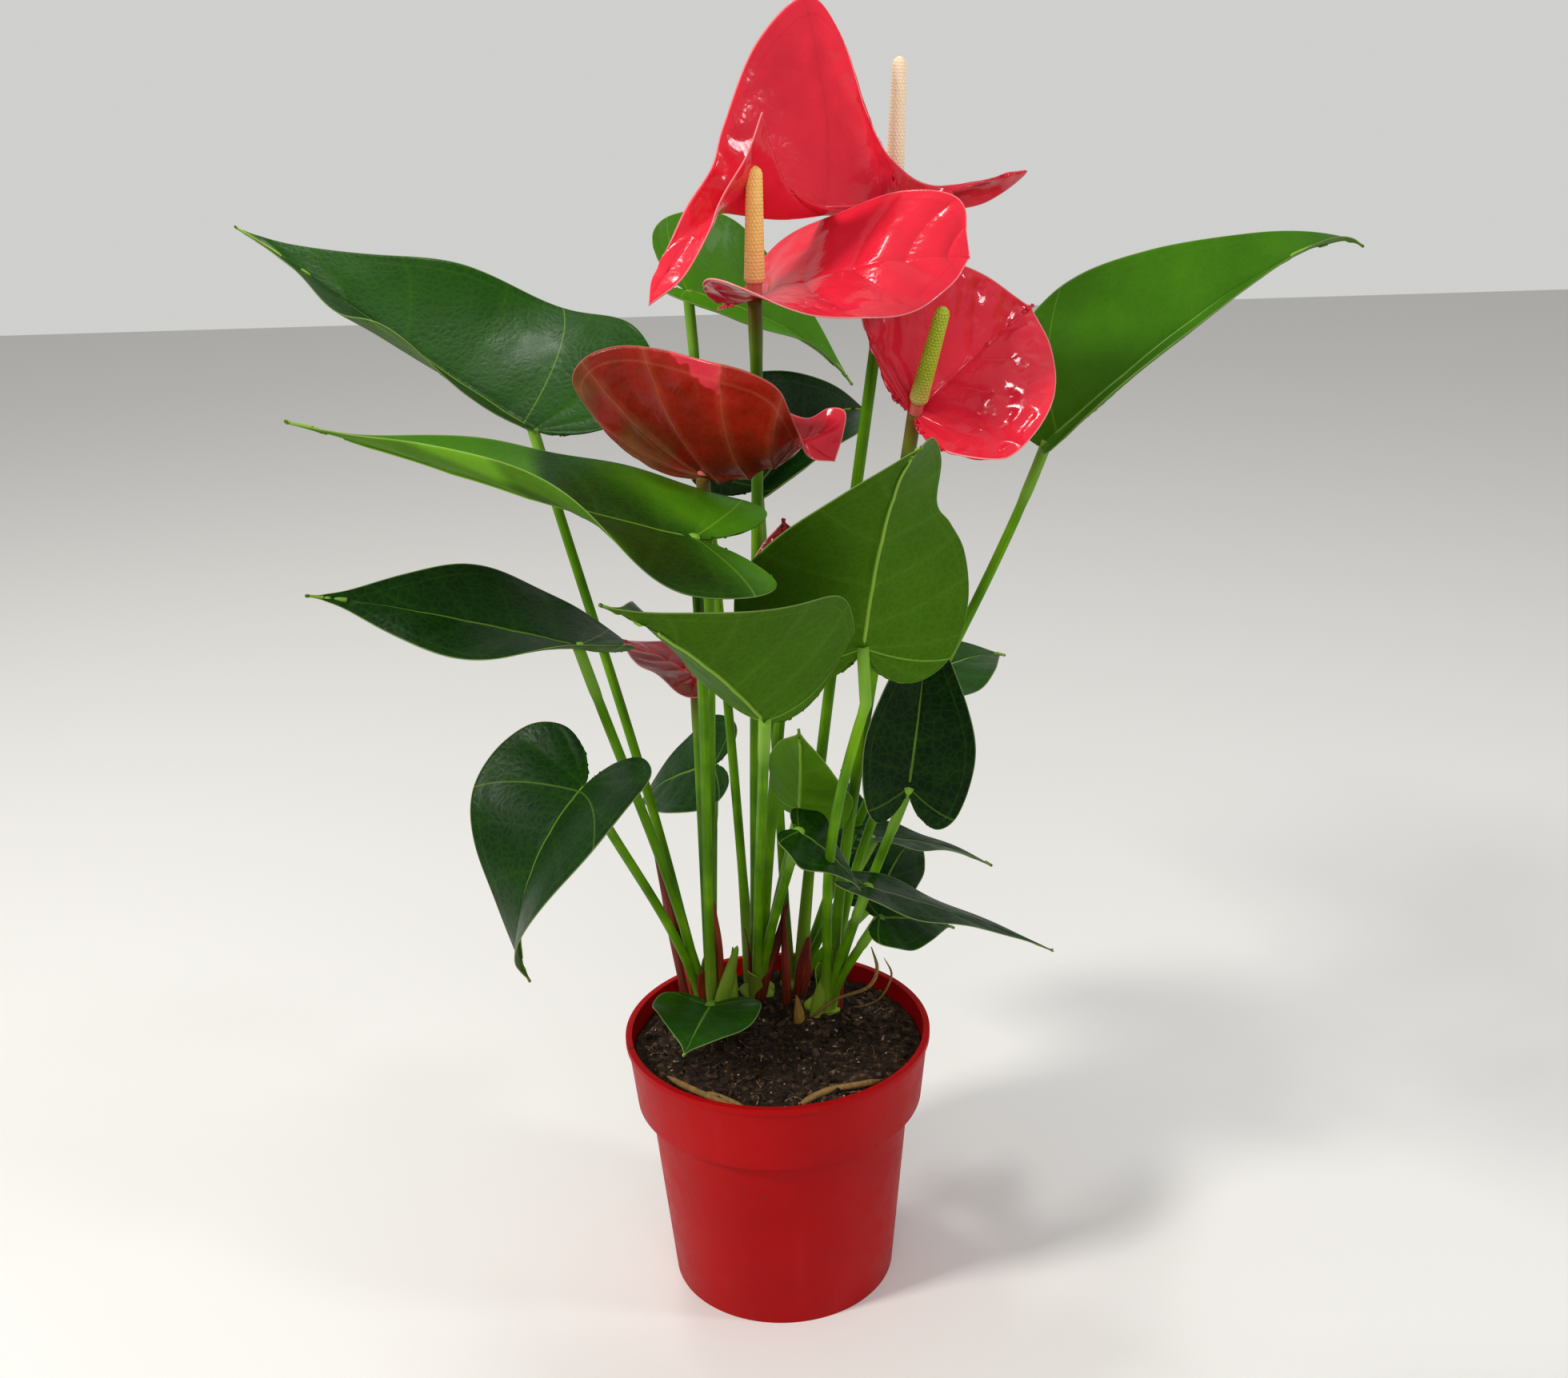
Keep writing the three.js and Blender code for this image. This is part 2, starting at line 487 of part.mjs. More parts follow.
// A spike of florets: a tapering bar whose surface stands out and in by turns.
function spadix(spec) {
  const { length, radius } = spec.spadix;
  const way = seatWay(spec);
  const foot = vector(spec.joint).addScaledVector(way, SPADIX_SEAT + SEAT_GAP);
  const line = new THREE.LineCurve3(foot, foot.clone().addScaledVector(way, length));
  return bar(
    line,
    (along, side, step) => {
      const taper = 1 - SPADIX_TAPER * along - 0.4 * Math.max(0, 1 - along / 0.08);
      const round = Math.sqrt(Math.max(0.04, 1 - Math.max(0, (along - 0.9) / 0.1) ** 2));
      const floret = along > 0.05 && along < 0.95 ? FLORET_RELIEF * ((side + step) % 2 ? 1 : -1) : 0;
      return radius * taper * round + floret;
    },
    SPADIX_SIDES,
    SPADIX_STEPS,
  );
}

// ---------------------------------------------------------------- pot and soil
// A profile of [radius, height] points turned about the upright axis.
function turned(profile, sides) {
  return new THREE.LatheGeometry(profile.map((q) => new THREE.Vector2(...q)), sides).rotateX(Math.PI / 2);
}

// An upright cylinder between two heights.
function upright(radius, floor, top, sides, [x, y]) {
  return solid(
    new THREE.CylinderGeometry(radius, radius, top - floor, sides)
      .rotateX(Math.PI / 2).translate(x, y, (top + floor) / 2),
  );
}

function pot() {
  const p = POT;
  const bandFoot = p.height - p.bandHeight;
  const lipFoot = p.height - p.lipHeight;
  const under = [
    [0, 0],
    [p.footPad, 0],
    [p.footPad + p.footSlope, p.footRise],
    [p.footRadius - p.footRing - p.footSlope, p.footRise],
  ];
  const outer = [
    [p.footRadius - p.footRing, 0],
    [p.footRadius, 0],
    [p.bodyTopRadius, bandFoot - p.bandSlope],
    [p.bandFootRadius, bandFoot],
    [p.rimRadius - p.lip, lipFoot - p.lipSlope],
    [p.rimRadius, lipFoot],
    [p.rimRadius, p.height],
  ];
  const inner = [
    [p.rimRadius - p.lip - p.wall, p.height],
    [p.bandFootRadius - p.wall, bandFoot + p.wall],
    [p.bodyTopRadius - p.wall, bandFoot - p.bandSlope + p.wall],
    [p.footRadius - p.wall, p.footRise + p.wall],
    [0, p.footRise + p.wall],
  ];
  const shell = solid(turned([...under, ...outer, ...inner], p.facets));
  const holes = [];
  for (let i = 0; i < p.drainHoles; i++) {
    const turn = (i * 2 * Math.PI) / p.drainHoles;
    const at = [p.drainCircle * Math.cos(turn), p.drainCircle * Math.sin(turn)];
    holes.push(upright(p.drainRadius, -p.height, p.height / 4, p.drainSides, at));
  }
  return shell.subtract(union(holes));
}

// Height of the mix at a place, from a few crossed waves.
function soilHeight(x, y) {
  const long = Math.sin(0.21 * x + 1.3) * Math.cos(0.24 * y);
  const short = Math.sin(0.43 * x - 0.37 * y + 2.1);
  return SOIL_TOP + SOIL_LUMP * (0.6 * long + 0.4 * short);
}

function soil() {
  const p = POT;
  const bandFoot = p.height - p.bandHeight;
  const clear = p.wall + SOIL_CLEAR;
  const floor = p.footRise + p.wall + SEAT_GAP;
  const rimInside = p.rimRadius - p.lip - clear;
  const bandInside = p.bandFootRadius - clear;
  const wallAt = (z) => bandInside + ((rimInside - bandInside) * (z - bandFoot)) / p.bandHeight;
  const profile = [
    [0, floor],
    [p.footRadius - clear, floor],
    [p.bodyTopRadius - clear, bandFoot - p.bandSlope + clear],
    [bandInside, bandFoot + 2 * clear],
  ];
  for (let i = 0; i <= SOIL_RINGS; i++) profile.push([wallAt(SOIL_TOP) * (1 - i / SOIL_RINGS), SOIL_TOP]);
  const body = turned(profile, p.facets);
  const position = body.attributes.position;
  for (let i = 0; i < position.count; i++) {
    const onTop = position.getZ(i) > SOIL_TOP - 0.01;
    if (onTop) position.setZ(i, soilHeight(position.getX(i), position.getY(i)));
  }
  const holes = [
    ...CROWNS.map((crown) => crownPlug(crown, SEAT_GAP, HOLE_ABOVE)),
    ...SHOOTS.map((spec) => shootHole(spec)),
  ];
  return holes.reduce((mix, hole) => mix.subtract(hole), solid(body));
}

// ---------------------------------------------------------------- crowns
// The shoot base in its hole: a short plug with a rounded head.
function crownPlug(crown, grow, rise) {
  const radius = crown.radius + grow;
  const floor = SOIL_TOP - CROWN_DEPTH - grow;
  const profile = [
    [0, floor],
    [radius, floor],
    [radius, SOIL_TOP + rise * 0.4],
    [radius * 0.7, SOIL_TOP + rise * 0.85],
    [0, SOIL_TOP + rise],
  ];
  return solid(turned(profile, CROWN_SIDES).translate(...crown.at, 0));
}

// ---------------------------------------------------------------- shoots
// A rolled young leaf or dry sheath: upright in the mix, then drawn to a point at its tip.
function shoot(spec) {
  const foot = vector([...spec.foot, SOIL_TOP - SHOOT_DEPTH]);
  const tip = vector(spec.tip);
  const bendAt = vector([...spec.foot, (SOIL_TOP + tip.z) / 2]);
  const curve = new THREE.QuadraticBezierCurve3(foot, bendAt, tip);
  const radiusAt = (along) => spec.radius * Math.min(1, 0.15 + 1.7 * (1 - along));
  return bar(curve, radiusAt, SHOOT_SIDES, SHOOT_STEPS);
}

// The plain hole that it stands in.
function shootHole(spec) {
  const floor = SOIL_TOP - SHOOT_DEPTH - SEAT_GAP;
  return upright(spec.radius + 2 * SEAT_GAP, floor, SOIL_TOP + HOLE_ABOVE, SHOOT_SIDES, spec.foot);
}

// ---------------------------------------------------------------- the whole plant
const plain = (colour, roughness) =>
  new THREE.MeshStandardMaterial({ color: colour, roughness, metalness: 0 });
const LEAF_MATERIAL = plain("#2c5a1c", 0.35);
const STALK_MATERIAL = plain("#5f9a2a", 0.5);
const POT_MATERIAL = plain("#b01218", 0.45);
const SOIL_MATERIAL = plain("#2a1d16", 0.95);
const SPATHE_COLOUR = "#d01a30";
const SPADIX_COLOUR = "#eec268";

const plant = new THREE.Group();
function add(name, made, material) {
  const mesh = new THREE.Mesh(geometryOf(made), material);
  mesh.name = name;
  plant.add(mesh);
}

add("pot", pot(), POT_MATERIAL);
add("soil", soil(), SOIL_MATERIAL);
CROWNS.forEach((crown, number) => {
  const leaves = LEAVES.filter((spec) => spec.crown === number).map((spec) => stalk(spec, PETIOLE_RADIUS));
  const blooms = BLOOMS.filter((spec) => spec.crown === number).map((spec) => stalk(spec, PEDUNCLE_RADIUS));
  add(crown.name, union([crownPlug(crown, 0, CROWN_RISE), ...leaves, ...blooms]), STALK_MATERIAL);
});
for (const spec of SHOOTS) add(spec.name, shoot(spec), plain(spec.colour, 0.6));
const detail = (spec) => (spec.length < SMALL_LENGTH ? SMALL_BLADE : LARGE_BLADE);
for (const spec of LEAVES) {
  const shell = blade(bladeSurface(spec, LEAF_OUTLINE), ...detail(spec));
  add(spec.name, shell.add(knee(spec, PETIOLE_RADIUS)), LEAF_MATERIAL);
}
for (const spec of BLOOMS) {
  const surface = spec.sheet ? sheetSurface(spec.sheet) : bladeSurface(spec, SPATHE_OUTLINE);
  const shell = blade(surface, ...detail(spec));
  const spathe = plain(spec.colour ?? SPATHE_COLOUR, 0.22);
  add(`${spec.name}_spathe`, shell.add(knee(spec, PEDUNCLE_RADIUS)), spathe);
  add(`${spec.name}_spadix`, spadix(spec), plain(spec.spadix.colour ?? SPADIX_COLOUR, 0.6));
}

export default plant;
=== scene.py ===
import math
from functools import partial

import bmesh
import bpy
import numpy as np
from mathutils import Matrix, Vector, noise


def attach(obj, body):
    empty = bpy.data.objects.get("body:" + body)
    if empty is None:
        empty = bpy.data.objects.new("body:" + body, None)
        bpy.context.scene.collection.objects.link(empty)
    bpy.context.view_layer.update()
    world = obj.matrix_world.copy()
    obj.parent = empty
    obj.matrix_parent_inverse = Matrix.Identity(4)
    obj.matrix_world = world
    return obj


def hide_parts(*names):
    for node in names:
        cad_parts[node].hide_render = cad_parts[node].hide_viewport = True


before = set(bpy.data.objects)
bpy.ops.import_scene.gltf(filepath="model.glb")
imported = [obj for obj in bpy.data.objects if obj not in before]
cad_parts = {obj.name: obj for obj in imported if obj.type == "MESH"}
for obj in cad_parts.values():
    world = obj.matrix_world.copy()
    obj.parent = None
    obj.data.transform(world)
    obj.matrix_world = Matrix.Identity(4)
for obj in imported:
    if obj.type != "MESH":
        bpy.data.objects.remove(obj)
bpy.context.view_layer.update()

MM = 0.001
rng = np.random.default_rng(7)

# ---------------------------------------------------------------- sizes
POT = dict(
    rim=60, band_foot=56.5, body_top=51.5, foot=44.5, height=107, band=28, slope=2, wall=1.6,
    lip=0.9, lip_height=2.4, foot_rise=3, foot_ring=6, foot_pad=9, drain_radius=4, drain_circle=28, drains=6,
)
SOIL_FLOOR, SOIL_TOP = 4.9, 100
SOIL_CLEARANCE = 0.5  # between the mix and the wall of the pot
CRUMBS, FIBRES = 1100, 170
CROWN_DEPTH = 9
STALK_DEPTH = 6  # how far a stalk's foot is sunk in its crown
SHEATH_RADIUS = 3.2  # a stalk's radius at its foot
SHEATH_SHARE = 0.2  # the share of a stalk over which its foot thins out
SCALE_LEAF = 0.35  # the thickness of a dry scale leaf
SCALE_GAP = 0.75  # between a wrapping scale leaf's middle and the stalk's foot
PETIOLE_RADIUS, PEDUNCLE_RADIUS = 1.9, 2.2  # the stalks of leaves, and those of blooms
KNEE_LENGTH = 24  # the pulvinus: the stiff, paler end of a stalk under its blade
STRAIGHT_END = 8.3  # how much of a stalk runs straight up to its joint
SPADIX_SEAT = 5  # the bare neck under the florets
FLORET_PITCH = 1.35

# Along a blade, share 0 is the notch behind its joint and 1 the tip, as the outline runs.
NOTCH = 0.02  # where the two halves of a blade part
MIDRIB_START = 0.35  # up to here the veins fan out from the joint itself
MIDRIB_REACH = 0.86  # how much of the blade's length the midrib runs before the last veins
THREAD_START = 9  # the outline's point where the drawn-out tip begins
LOW_BASAL_VEIN, CLEAR_BASAL_VEIN = (0.25, 0), (0.36, 0.08)  # its share at the midrib, and its rise outwards
JOINING_VEIN = 4.2  # how far inside the margin the side veins are joined
LARGE_BLADE, FINE_GRID, PLAIN_GRID = 60, (156, 72), (108, 48)  # the length from which a grid is fine
SPATHE_GRID, WRAP_GRID, BRACT_GRID = (176, 108), (24, 12), (28, 12)
# How many sides the round pieces have.
POT_SIDES, MIX_SIDES, MIX_RINGS = 144, 216, 76
CROWN_SIDES, STALK_SIDES, SPEAR_SIDES, SPIKE_SIDES, ROOT_SIDES, FIBRE_SIDES = 36, 24, 28, 84, 12, 5

# ---------------------------------------------------------------- the plant, measured
# Half outlines, from the notch round to the tip: share of the length along the midrib, share of the
# half width across it. The last points are the thread that the tip is drawn out into.
LEAF_OUTLINE = [
    (-0.03, 0), (-0.15, 0.25), (-0.2, 0.54), (-0.13, 0.82), (0.04, 0.98),
    (0.24, 0.97), (0.46, 0.74), (0.68, 0.4), (0.86, 0.13), (0.96, 0.035), (1.0, 0.014), (1.03, 0),
]
SHORT_LOBE = [
    (-0.02, 0), (-0.03, 0.2), (-0.03, 0.42), (0.0, 0.66), (0.09, 0.88),
    (0.27, 0.95), (0.47, 0.74), (0.68, 0.4), (0.86, 0.13), (0.96, 0.035), (1.0, 0.014), (1.03, 0),
]
WAVED_OUTLINE = [
    (-0.03, 0), (-0.15, 0.25), (-0.2, 0.54), (-0.13, 0.84), (0.05, 0.99),
    (0.22, 0.93), (0.35, 0.74), (0.46, 0.55), (0.64, 0.5), (0.85, 0.26), (0.98, 0.04), (1.03, 0),
]
SPATHE_OUTLINE = [
    (-0.03, 0), (-0.18, 0.2), (-0.26, 0.5), (-0.18, 0.82), (0.04, 1),
    (0.28, 0.97), (0.52, 0.76), (0.74, 0.46), (0.9, 0.17), (0.97, 0.05), (1.0, 0.02), (1.02, 0),
]
STRAIGHT_HALF = [
    (-0.02, 0), (-0.07, 0.3), (-0.08, 0.6), (-0.06, 0.88), (0.04, 1.04),
    (0.24, 1.04), (0.5, 0.84), (0.74, 0.5), (0.9, 0.18), (0.97, 0.05), (1.0, 0.02), (1.02, 0),
]
BLUNT_FAR_HALF = [
    (-0.03, 0), (-0.15, 0.18), (-0.2, 0.42), (-0.12, 0.7), (0.06, 0.9),
    (0.28, 0.92), (0.52, 0.76), (0.76, 0.64), (0.93, 0.53), (0.99, 0.4), (1.0, 0.2), (1.02, 0),
]
BLUNT_NEAR_HALF = [
    (-0.03, 0), (-0.15, 0.2), (-0.21, 0.5), (-0.15, 0.82), (0.04, 1),
    (0.28, 0.98), (0.52, 0.8), (0.74, 0.54), (0.9, 0.3), (0.96, 0.19), (0.99, 0.1), (1.02, 0),
]
HANGING_HALF = [
    (-0.02, 0), (-0.12, 0.28), (-0.17, 0.56), (-0.1, 0.84), (0.06, 0.97),
    (0.28, 0.93), (0.52, 0.74), (0.74, 0.45), (0.9, 0.17), (0.97, 0.05), (1.0, 0.02), (1.02, 0),
]
# The left and right half outline of each leaf and bloom that hasn't the common one.
HALVES = {
    "leaf_upper_left": (SHORT_LOBE, LEAF_OUTLINE),
    "leaf_upper_right": (SHORT_LOBE, SHORT_LOBE),
    "leaf_centre_right": (WAVED_OUTLINE, LEAF_OUTLINE),
    "bloom_centre": (BLUNT_FAR_HALF, BLUNT_NEAR_HALF),
    "bloom_right": (STRAIGHT_HALF, HANGING_HALF),
}
CLEARLY_VEINED = ("leaf_upper_left", "leaf_upper_right", "leaf_lower_left")
CROWNS = [
    dict(name="crown_front", at=(-27, 30), radius=8),
    dict(name="crown_middle", at=(-8, 40), radius=8),
    dict(name="crown_rear", at=(8, 46), radius=6.5),
    dict(name="crown_right", at=(19, 26), radius=8),
]
SHOOTS = [
    dict(name="shoot_left", foot=(-38, 33), tip=(-43, 34, 168), radius=2.2, tone=1.0),
    dict(name="sheath_front", foot=(-18, 20), tip=(-17, 21, 131), radius=2.2, tone=0.0),
    dict(name="sheath_middle", foot=(4, 29), tip=(4, 26, 146), radius=1.8, tone=0.9),
    dict(name="stub_old", foot=(9, 14), tip=(8, 14, 112), radius=2.2, tone=0.5),
]

# heading, pitch, roll: the midrib's way at the joint. fold, cup, furl: how the halves stand up about
# it. droop, curl, lobes, twist: how it bends along its length. tone: 0 old and dark, 1 young and light;
# where a leaf stands in shadow, its low tone is also painted shade.
LEAVES = [
    dict(name="leaf_upper_left", tone=0.3, crown=0, joint=(-80, 10, 345), length=157, width=112,
        heading=144, pitch=21, roll=-15, fold=(40, 18), cup=(8, -2), droop=-14, curl=14,
        furl=14, lobes=17, twist=1, wave=(6.6, 1.6, -0.03)),
    dict(name="leaf_upper_right", tone=0.6, crown=3, joint=(103, 10, 335), length=155, width=86,
        heading=4, pitch=41, roll=47, fold=(3, 53), cup=(9, 15), droop=17, curl=55,
        furl=-2, lobes=12, twist=-4, wave=(2.1, 1.4, -0.21), upright=0.9, arrive=(0.35, -0.1, 1)),
    dict(name="leaf_twisted_left", tone=0.3, crown=0, joint=(-21, -88, 329), length=121, width=99,
        heading=185, pitch=16, roll=-9, fold=(7, 7), cup=(-4, -19), droop=-13, curl=12,
        furl=174, lobes=5, twist=23, wave=(2.7, 1.6, -0.34), arrive=(0, -0.7, 1)),
    dict(name="leaf_middle_left", tone=0.12, crown=0, joint=(-65, -30, 277), length=90, width=68,
        heading=188, pitch=18, roll=0, fold=(9, 5), cup=(17, 2), droop=2, curl=6,
        furl=3, lobes=12, twist=-60, wave=(1.8, 1.5, 0.06)),
    dict(name="leaf_lower_left", tone=0.12, crown=0, joint=(-67, -25, 222), length=84, width=84,
        heading=225, pitch=-29, roll=-11, fold=(36, -1), cup=(-19, 14), droop=82, curl=8,
        furl=-5, lobes=11, twist=22, wave=(1.4, 1.4, 0.28)),
    dict(name="leaf_centre_front", tone=0.45, crown=1, joint=(-1, -85, 268), length=106, width=84,
        heading=241, pitch=44, roll=1, fold=(46, 15), cup=(24, 15), droop=17, curl=0,
        furl=-43, lobes=41, twist=-23, wave=(2.6, 1.4, -0.02)),
    dict(name="leaf_centre_right", tone=0.5, crown=3, joint=(32, -60, 283), length=103, width=87,
        heading=290, pitch=74, roll=-12, fold=(16, 8), cup=(13, 12), droop=34, curl=22,
        furl=5, lobes=12, twist=28, wave=(-0.2, 1.5, 0.02), arrive=(-0.04, 0, 1), elbow=(0.3, 0, 0.95)),
    # This leaf stands in shadow: its very low tone is partly its own dark green and partly painted shade.
    dict(name="leaf_dark_right", tone=0.03, crown=3, joint=(51, -14, 213), length=72, width=46,
        heading=57, pitch=72, roll=42, fold=(16, 15), cup=(17, 15), droop=11, curl=12,
        furl=-9, lobes=11, twist=-7, wave=(1.7, 1.4, -0.57)),
    dict(name="leaf_top_rear", tone=0.8, crown=1, joint=(-25, 62, 386), length=87, width=67,
        heading=23, pitch=-18, roll=35, fold=(22, 18), cup=(15, 16), droop=24, curl=12,
        furl=0, lobes=13, twist=-5, wave=(1.5, 1.5, 0.09)),
    dict(name="leaf_dark_rear", tone=0.08, crown=2, joint=(-1, 45, 314), length=87, width=70,
        heading=51, pitch=33, roll=12, fold=(30, 29), cup=(19, 16), droop=38, curl=20,
        furl=4, lobes=18, twist=35, wave=(1.6, 1.3, -0.12)),
    dict(name="leaf_left_rear", tone=0.1, crown=0, joint=(-23, 62, 194), length=61, width=46,
        heading=145, pitch=-22, roll=-42, fold=(0, 2), cup=(8, 10), droop=26, curl=10,
        furl=-3, lobes=11, twist=13, wave=(1.6, 1.4, -0.09)),
    dict(name="leaf_right_rear", tone=0.3, crown=2, joint=(62, 62, 228), length=63, width=44,
        heading=44, pitch=7, roll=21, fold=(7, 7), cup=(11, 11), droop=23, curl=9,
        furl=-1, lobes=12, twist=-6, wave=(1.5, 1.5, 0.06)),
    dict(name="leaf_right_slim", tone=0.1, crown=2, joint=(42, 41, 168), length=56, width=26,
        heading=18, pitch=-11, roll=0, fold=(1, 4), cup=(8, 9), droop=19, curl=8,
        furl=-2, lobes=12, twist=1, wave=(1.6, 1.5, -0.03)),
    dict(name="leaf_right_long", tone=0.1, crown=3, joint=(35, -24, 178), length=77, width=31,
        heading=7, pitch=-21, roll=-2, fold=(-5, -5), cup=(5, 5), droop=7, curl=3,
        furl=-4, lobes=12, twist=-3, wave=(1.6, 1.5, 0.04)),
    dict(name="leaf_right_low", tone=0.2, crown=3, joint=(40, -12, 159), length=39, width=32,
        heading=25, pitch=-13, roll=35, fold=(2, 3), cup=(10, 9), droop=22, curl=7,
        furl=-2, lobes=11, twist=-15, wave=(1.4, 1.5, -0.01)),
    dict(name="leaf_middle_dark", tone=0.15, crown=1, joint=(10, -30, 204), length=31, width=38,
        heading=-14, pitch=-31, roll=5, fold=(-7, -3), cup=(7, 7), droop=24, curl=8,
        furl=-9, lobes=12, twist=-8, wave=(1.6, 1.5, 0)),
    dict(name="leaf_middle_erect", tone=0.75, crown=1, joint=(11, -2, 201), length=54, width=39,
        heading=276, pitch=61, roll=-28, fold=(3, 21), cup=(8, 18), droop=13, curl=8,
        furl=-2, lobes=12, twist=-6, wave=(1.7, 1.5, 0.01)),
    dict(name="leaf_right_brown", tone=0.1, crown=2, joint=(33, 70, 151), length=39, width=29,
        heading=96, pitch=42, roll=-20, fold=(6, 15), cup=(11, 14), droop=16, curl=5,
        furl=-2, lobes=12, twist=-5, wave=(1.6, 1.5, -0.06)),
    dict(name="leaf_right_shade", tone=0.1, crown=2, joint=(45, 60, 132), length=45, width=38,
        heading=61, pitch=37, roll=2, fold=(15, 15), cup=(13, 15), droop=39, curl=22,
        furl=2, lobes=10, twist=3, wave=(1.5, 1.5, -0.11)),
    dict(name="leaf_rim_front", tone=0.35, crown=0, joint=(-26, -8, 121), length=39, width=43,
        heading=257, pitch=7, roll=1, fold=(1, 2), cup=(10, 11), droop=10, curl=-3,
        furl=-7, lobes=12, twist=-14, wave=(1.4, 1.6, 0.09)),
]

# Two spathes are drawn by their midrib and margins, from the joint to the tip. belly: how far each half
# sags, in millimetres. flow: how smoothly the two halves run into each other across the midrib.
TOP_SPATHE = dict(
    midrib=[
        (48, 5, 418), (26, -8, 417), (5, -26, 418), (-9, -36, 421), (-14, -44, 418), (-20, -53, 413),
        (-26, -61, 406), (-32, -70, 397),
    ],
    left=[
        (48, 5, 418), (62, 16, 416), (82, 28, 417), (98, 36, 427), (79, 22, 425), (61, 8, 425),
        (48, -6, 433), (39, -8, 447), (30, -8, 474), (19, -10, 485), (3, -18, 471), (-8, -28, 447),
        (-12, -34, 435), (-20, -44, 424), (-26, -54, 413), (-31, -63, 404), (-32, -70, 397),
    ],
    right=[
        (48, 5, 418), (43, 3, 417), (34, -1, 417), (24, -7, 418), (14, -16, 418), (5, -25, 419),
        (-5, -36, 424), (1, -42, 439), (4, -46, 451), (-1, -50, 439), (-9, -56, 427), (-14, -60, 416),
        (-22, -66, 404), (-32, -70, 397),
    ],
    belly=(-8, -3), flow=0.4,
)
LEFT_SPATHE = dict(
    midrib=[
        (-19, -38, 337), (-9, -44, 337), (0, -50, 341), (7, -54, 345), (13, -55, 351), (19, -55, 348),
        (24, -54, 344),
    ],
    left=[
        (-19, -38, 337), (-21, -33, 338), (-26, -25, 342), (-30, -18, 351), (-30, -14, 361),
        (-22, -14, 366), (-12, -16, 365), (-2, -22, 362), (7, -32, 358), (16, -42, 356),
        (23, -47, 360), (28, -49, 359), (27, -51, 352), (24, -54, 344),
    ],
    right=[
        (-19, -38, 337), (-23, -37, 338), (-30, -36, 340), (-45, -34, 346), (-55, -30, 357),
        (-61, -28, 368), (-56, -30, 376), (-45, -34, 380), (-32, -42, 380), (-19, -52, 378),
        (-4, -60, 375), (6, -64, 370), (10, -64, 362), (13, -60, 354), (16, -57, 346), (24, -54, 344),
    ],
    belly=(-5, -7), flow=0.4,
)

# upright: how steeply a stalk leaves its crown. arrive: its way at the joint. elbow: its way before the
# knee. The spadix's tone: 0 cream, 0.6 orange-yellow, 1 green.
BLOOMS = [
    dict(name="bloom_top", tone=0.03, crown=2, joint=(48, 5, 418), sheet=TOP_SPATHE,
        spadix=dict(length=43, radius=3.3, lean=(0.05, 0, 1))),
    dict(name="bloom_centre", tone=0.07, crown=1, joint=(0, -42, 395), length=68, width=86,
        heading=-1, pitch=16, roll=-10, fold=(9, -3), cup=(11, 6), droop=8, curl=12,
        furl=-11, lobes=14, twist=57, wave=(1.9, 1.4, 0.12), upright=1, arrive=(0, -0.8, 1),
        spadix=dict(length=35, radius=3.4, lean=(0.03, -0.04, 1), tone=0.6)),
    dict(name="bloom_right", tone=0.05, crown=3, joint=(51, -40, 356), length=67, width=83,
        heading=38, pitch=30, roll=45, fold=(34, 23), cup=(12, 13), droop=10, curl=10,
        furl=1, lobes=26, twist=1, wave=(1.6, 1.5, 0.36),
        spadix=dict(length=34, radius=3.2, lean=(0.2, -0.35, 0.9), tone=1.0)),
    dict(name="bloom_left", tone=0.6, crown=0, joint=(-19, -38, 337), sheet=LEFT_SPATHE,
        upright=0.7, arrive=(0, -0.6, 1),
        spadix=dict(length=24, radius=2.8, lean=(0.25, 0.06, 1))),
    # This spathe stands in shadow behind the leaves: its dark tone is painted shade.
    dict(name="bloom_shade", tone=0.9, crown=1, joint=(9, -2, 280), length=32, width=36,
        heading=90, pitch=75, roll=10, fold=(12, 12), cup=(10, 9), droop=20, curl=5,
        furl=-9, lobes=12, twist=0, wave=(1.5, 1.6, 0.07),
        spadix=dict(length=18, radius=2.4, lean=(0, -0.6, 1))),
    dict(name="bloom_low", tone=0.6, crown=0, joint=(-27, 22, 246), length=40, width=36,
        heading=146, pitch=21, roll=-5, fold=(6, 1), cup=(10, 11), droop=15, curl=3,
        furl=-4, lobes=12, twist=14, wave=(1.5, 1.5, 0.05),
        spadix=dict(length=20, radius=2.4, lean=(0.3, -0.2, 0.9))),
]
LEAF_BODY = dict(veins=10, puff=0.3, blister=0.12, thick=0.5, rib=1.1)
SPATHE_BODY = dict(thick=0.7, rib=0.8)
PLAIN_FOLDS = dict(veins=9, puff=0.7, blister=0.6)
FOLDS = {
    "bloom_left": dict(veins=8, puff=1.7, blister=0.7), "bloom_top": dict(veins=9, puff=0.8, blister=0.7),
    "bloom_centre": dict(veins=8, puff=1.3, blister=0.5),
    "bloom_right": dict(veins=8, puff=1.0, blister=1.4),
}
# Scale leaves round the foot of a stalk: its owner, then height, turn, spread (radians) and tone.
WRAPS = [
    ("leaf_twisted_left", 30, -1.2, 2.8, 0.0), ("leaf_middle_left", 26, 2.5, 2.0, 0.85),
    ("leaf_upper_left", 42, 0.6, 1.3, 0.8), ("leaf_centre_front", 24, 1.2, 2.6, 0.15),
    ("leaf_centre_right", 28, -0.6, 2.6, 0.0), ("leaf_upper_right", 26, 2.2, 2.2, 0.9),
    ("bloom_centre", 34, 0.4, 1.6, 0.9), ("leaf_dark_right", 20, 0.2, 2.4, 0.1),
]
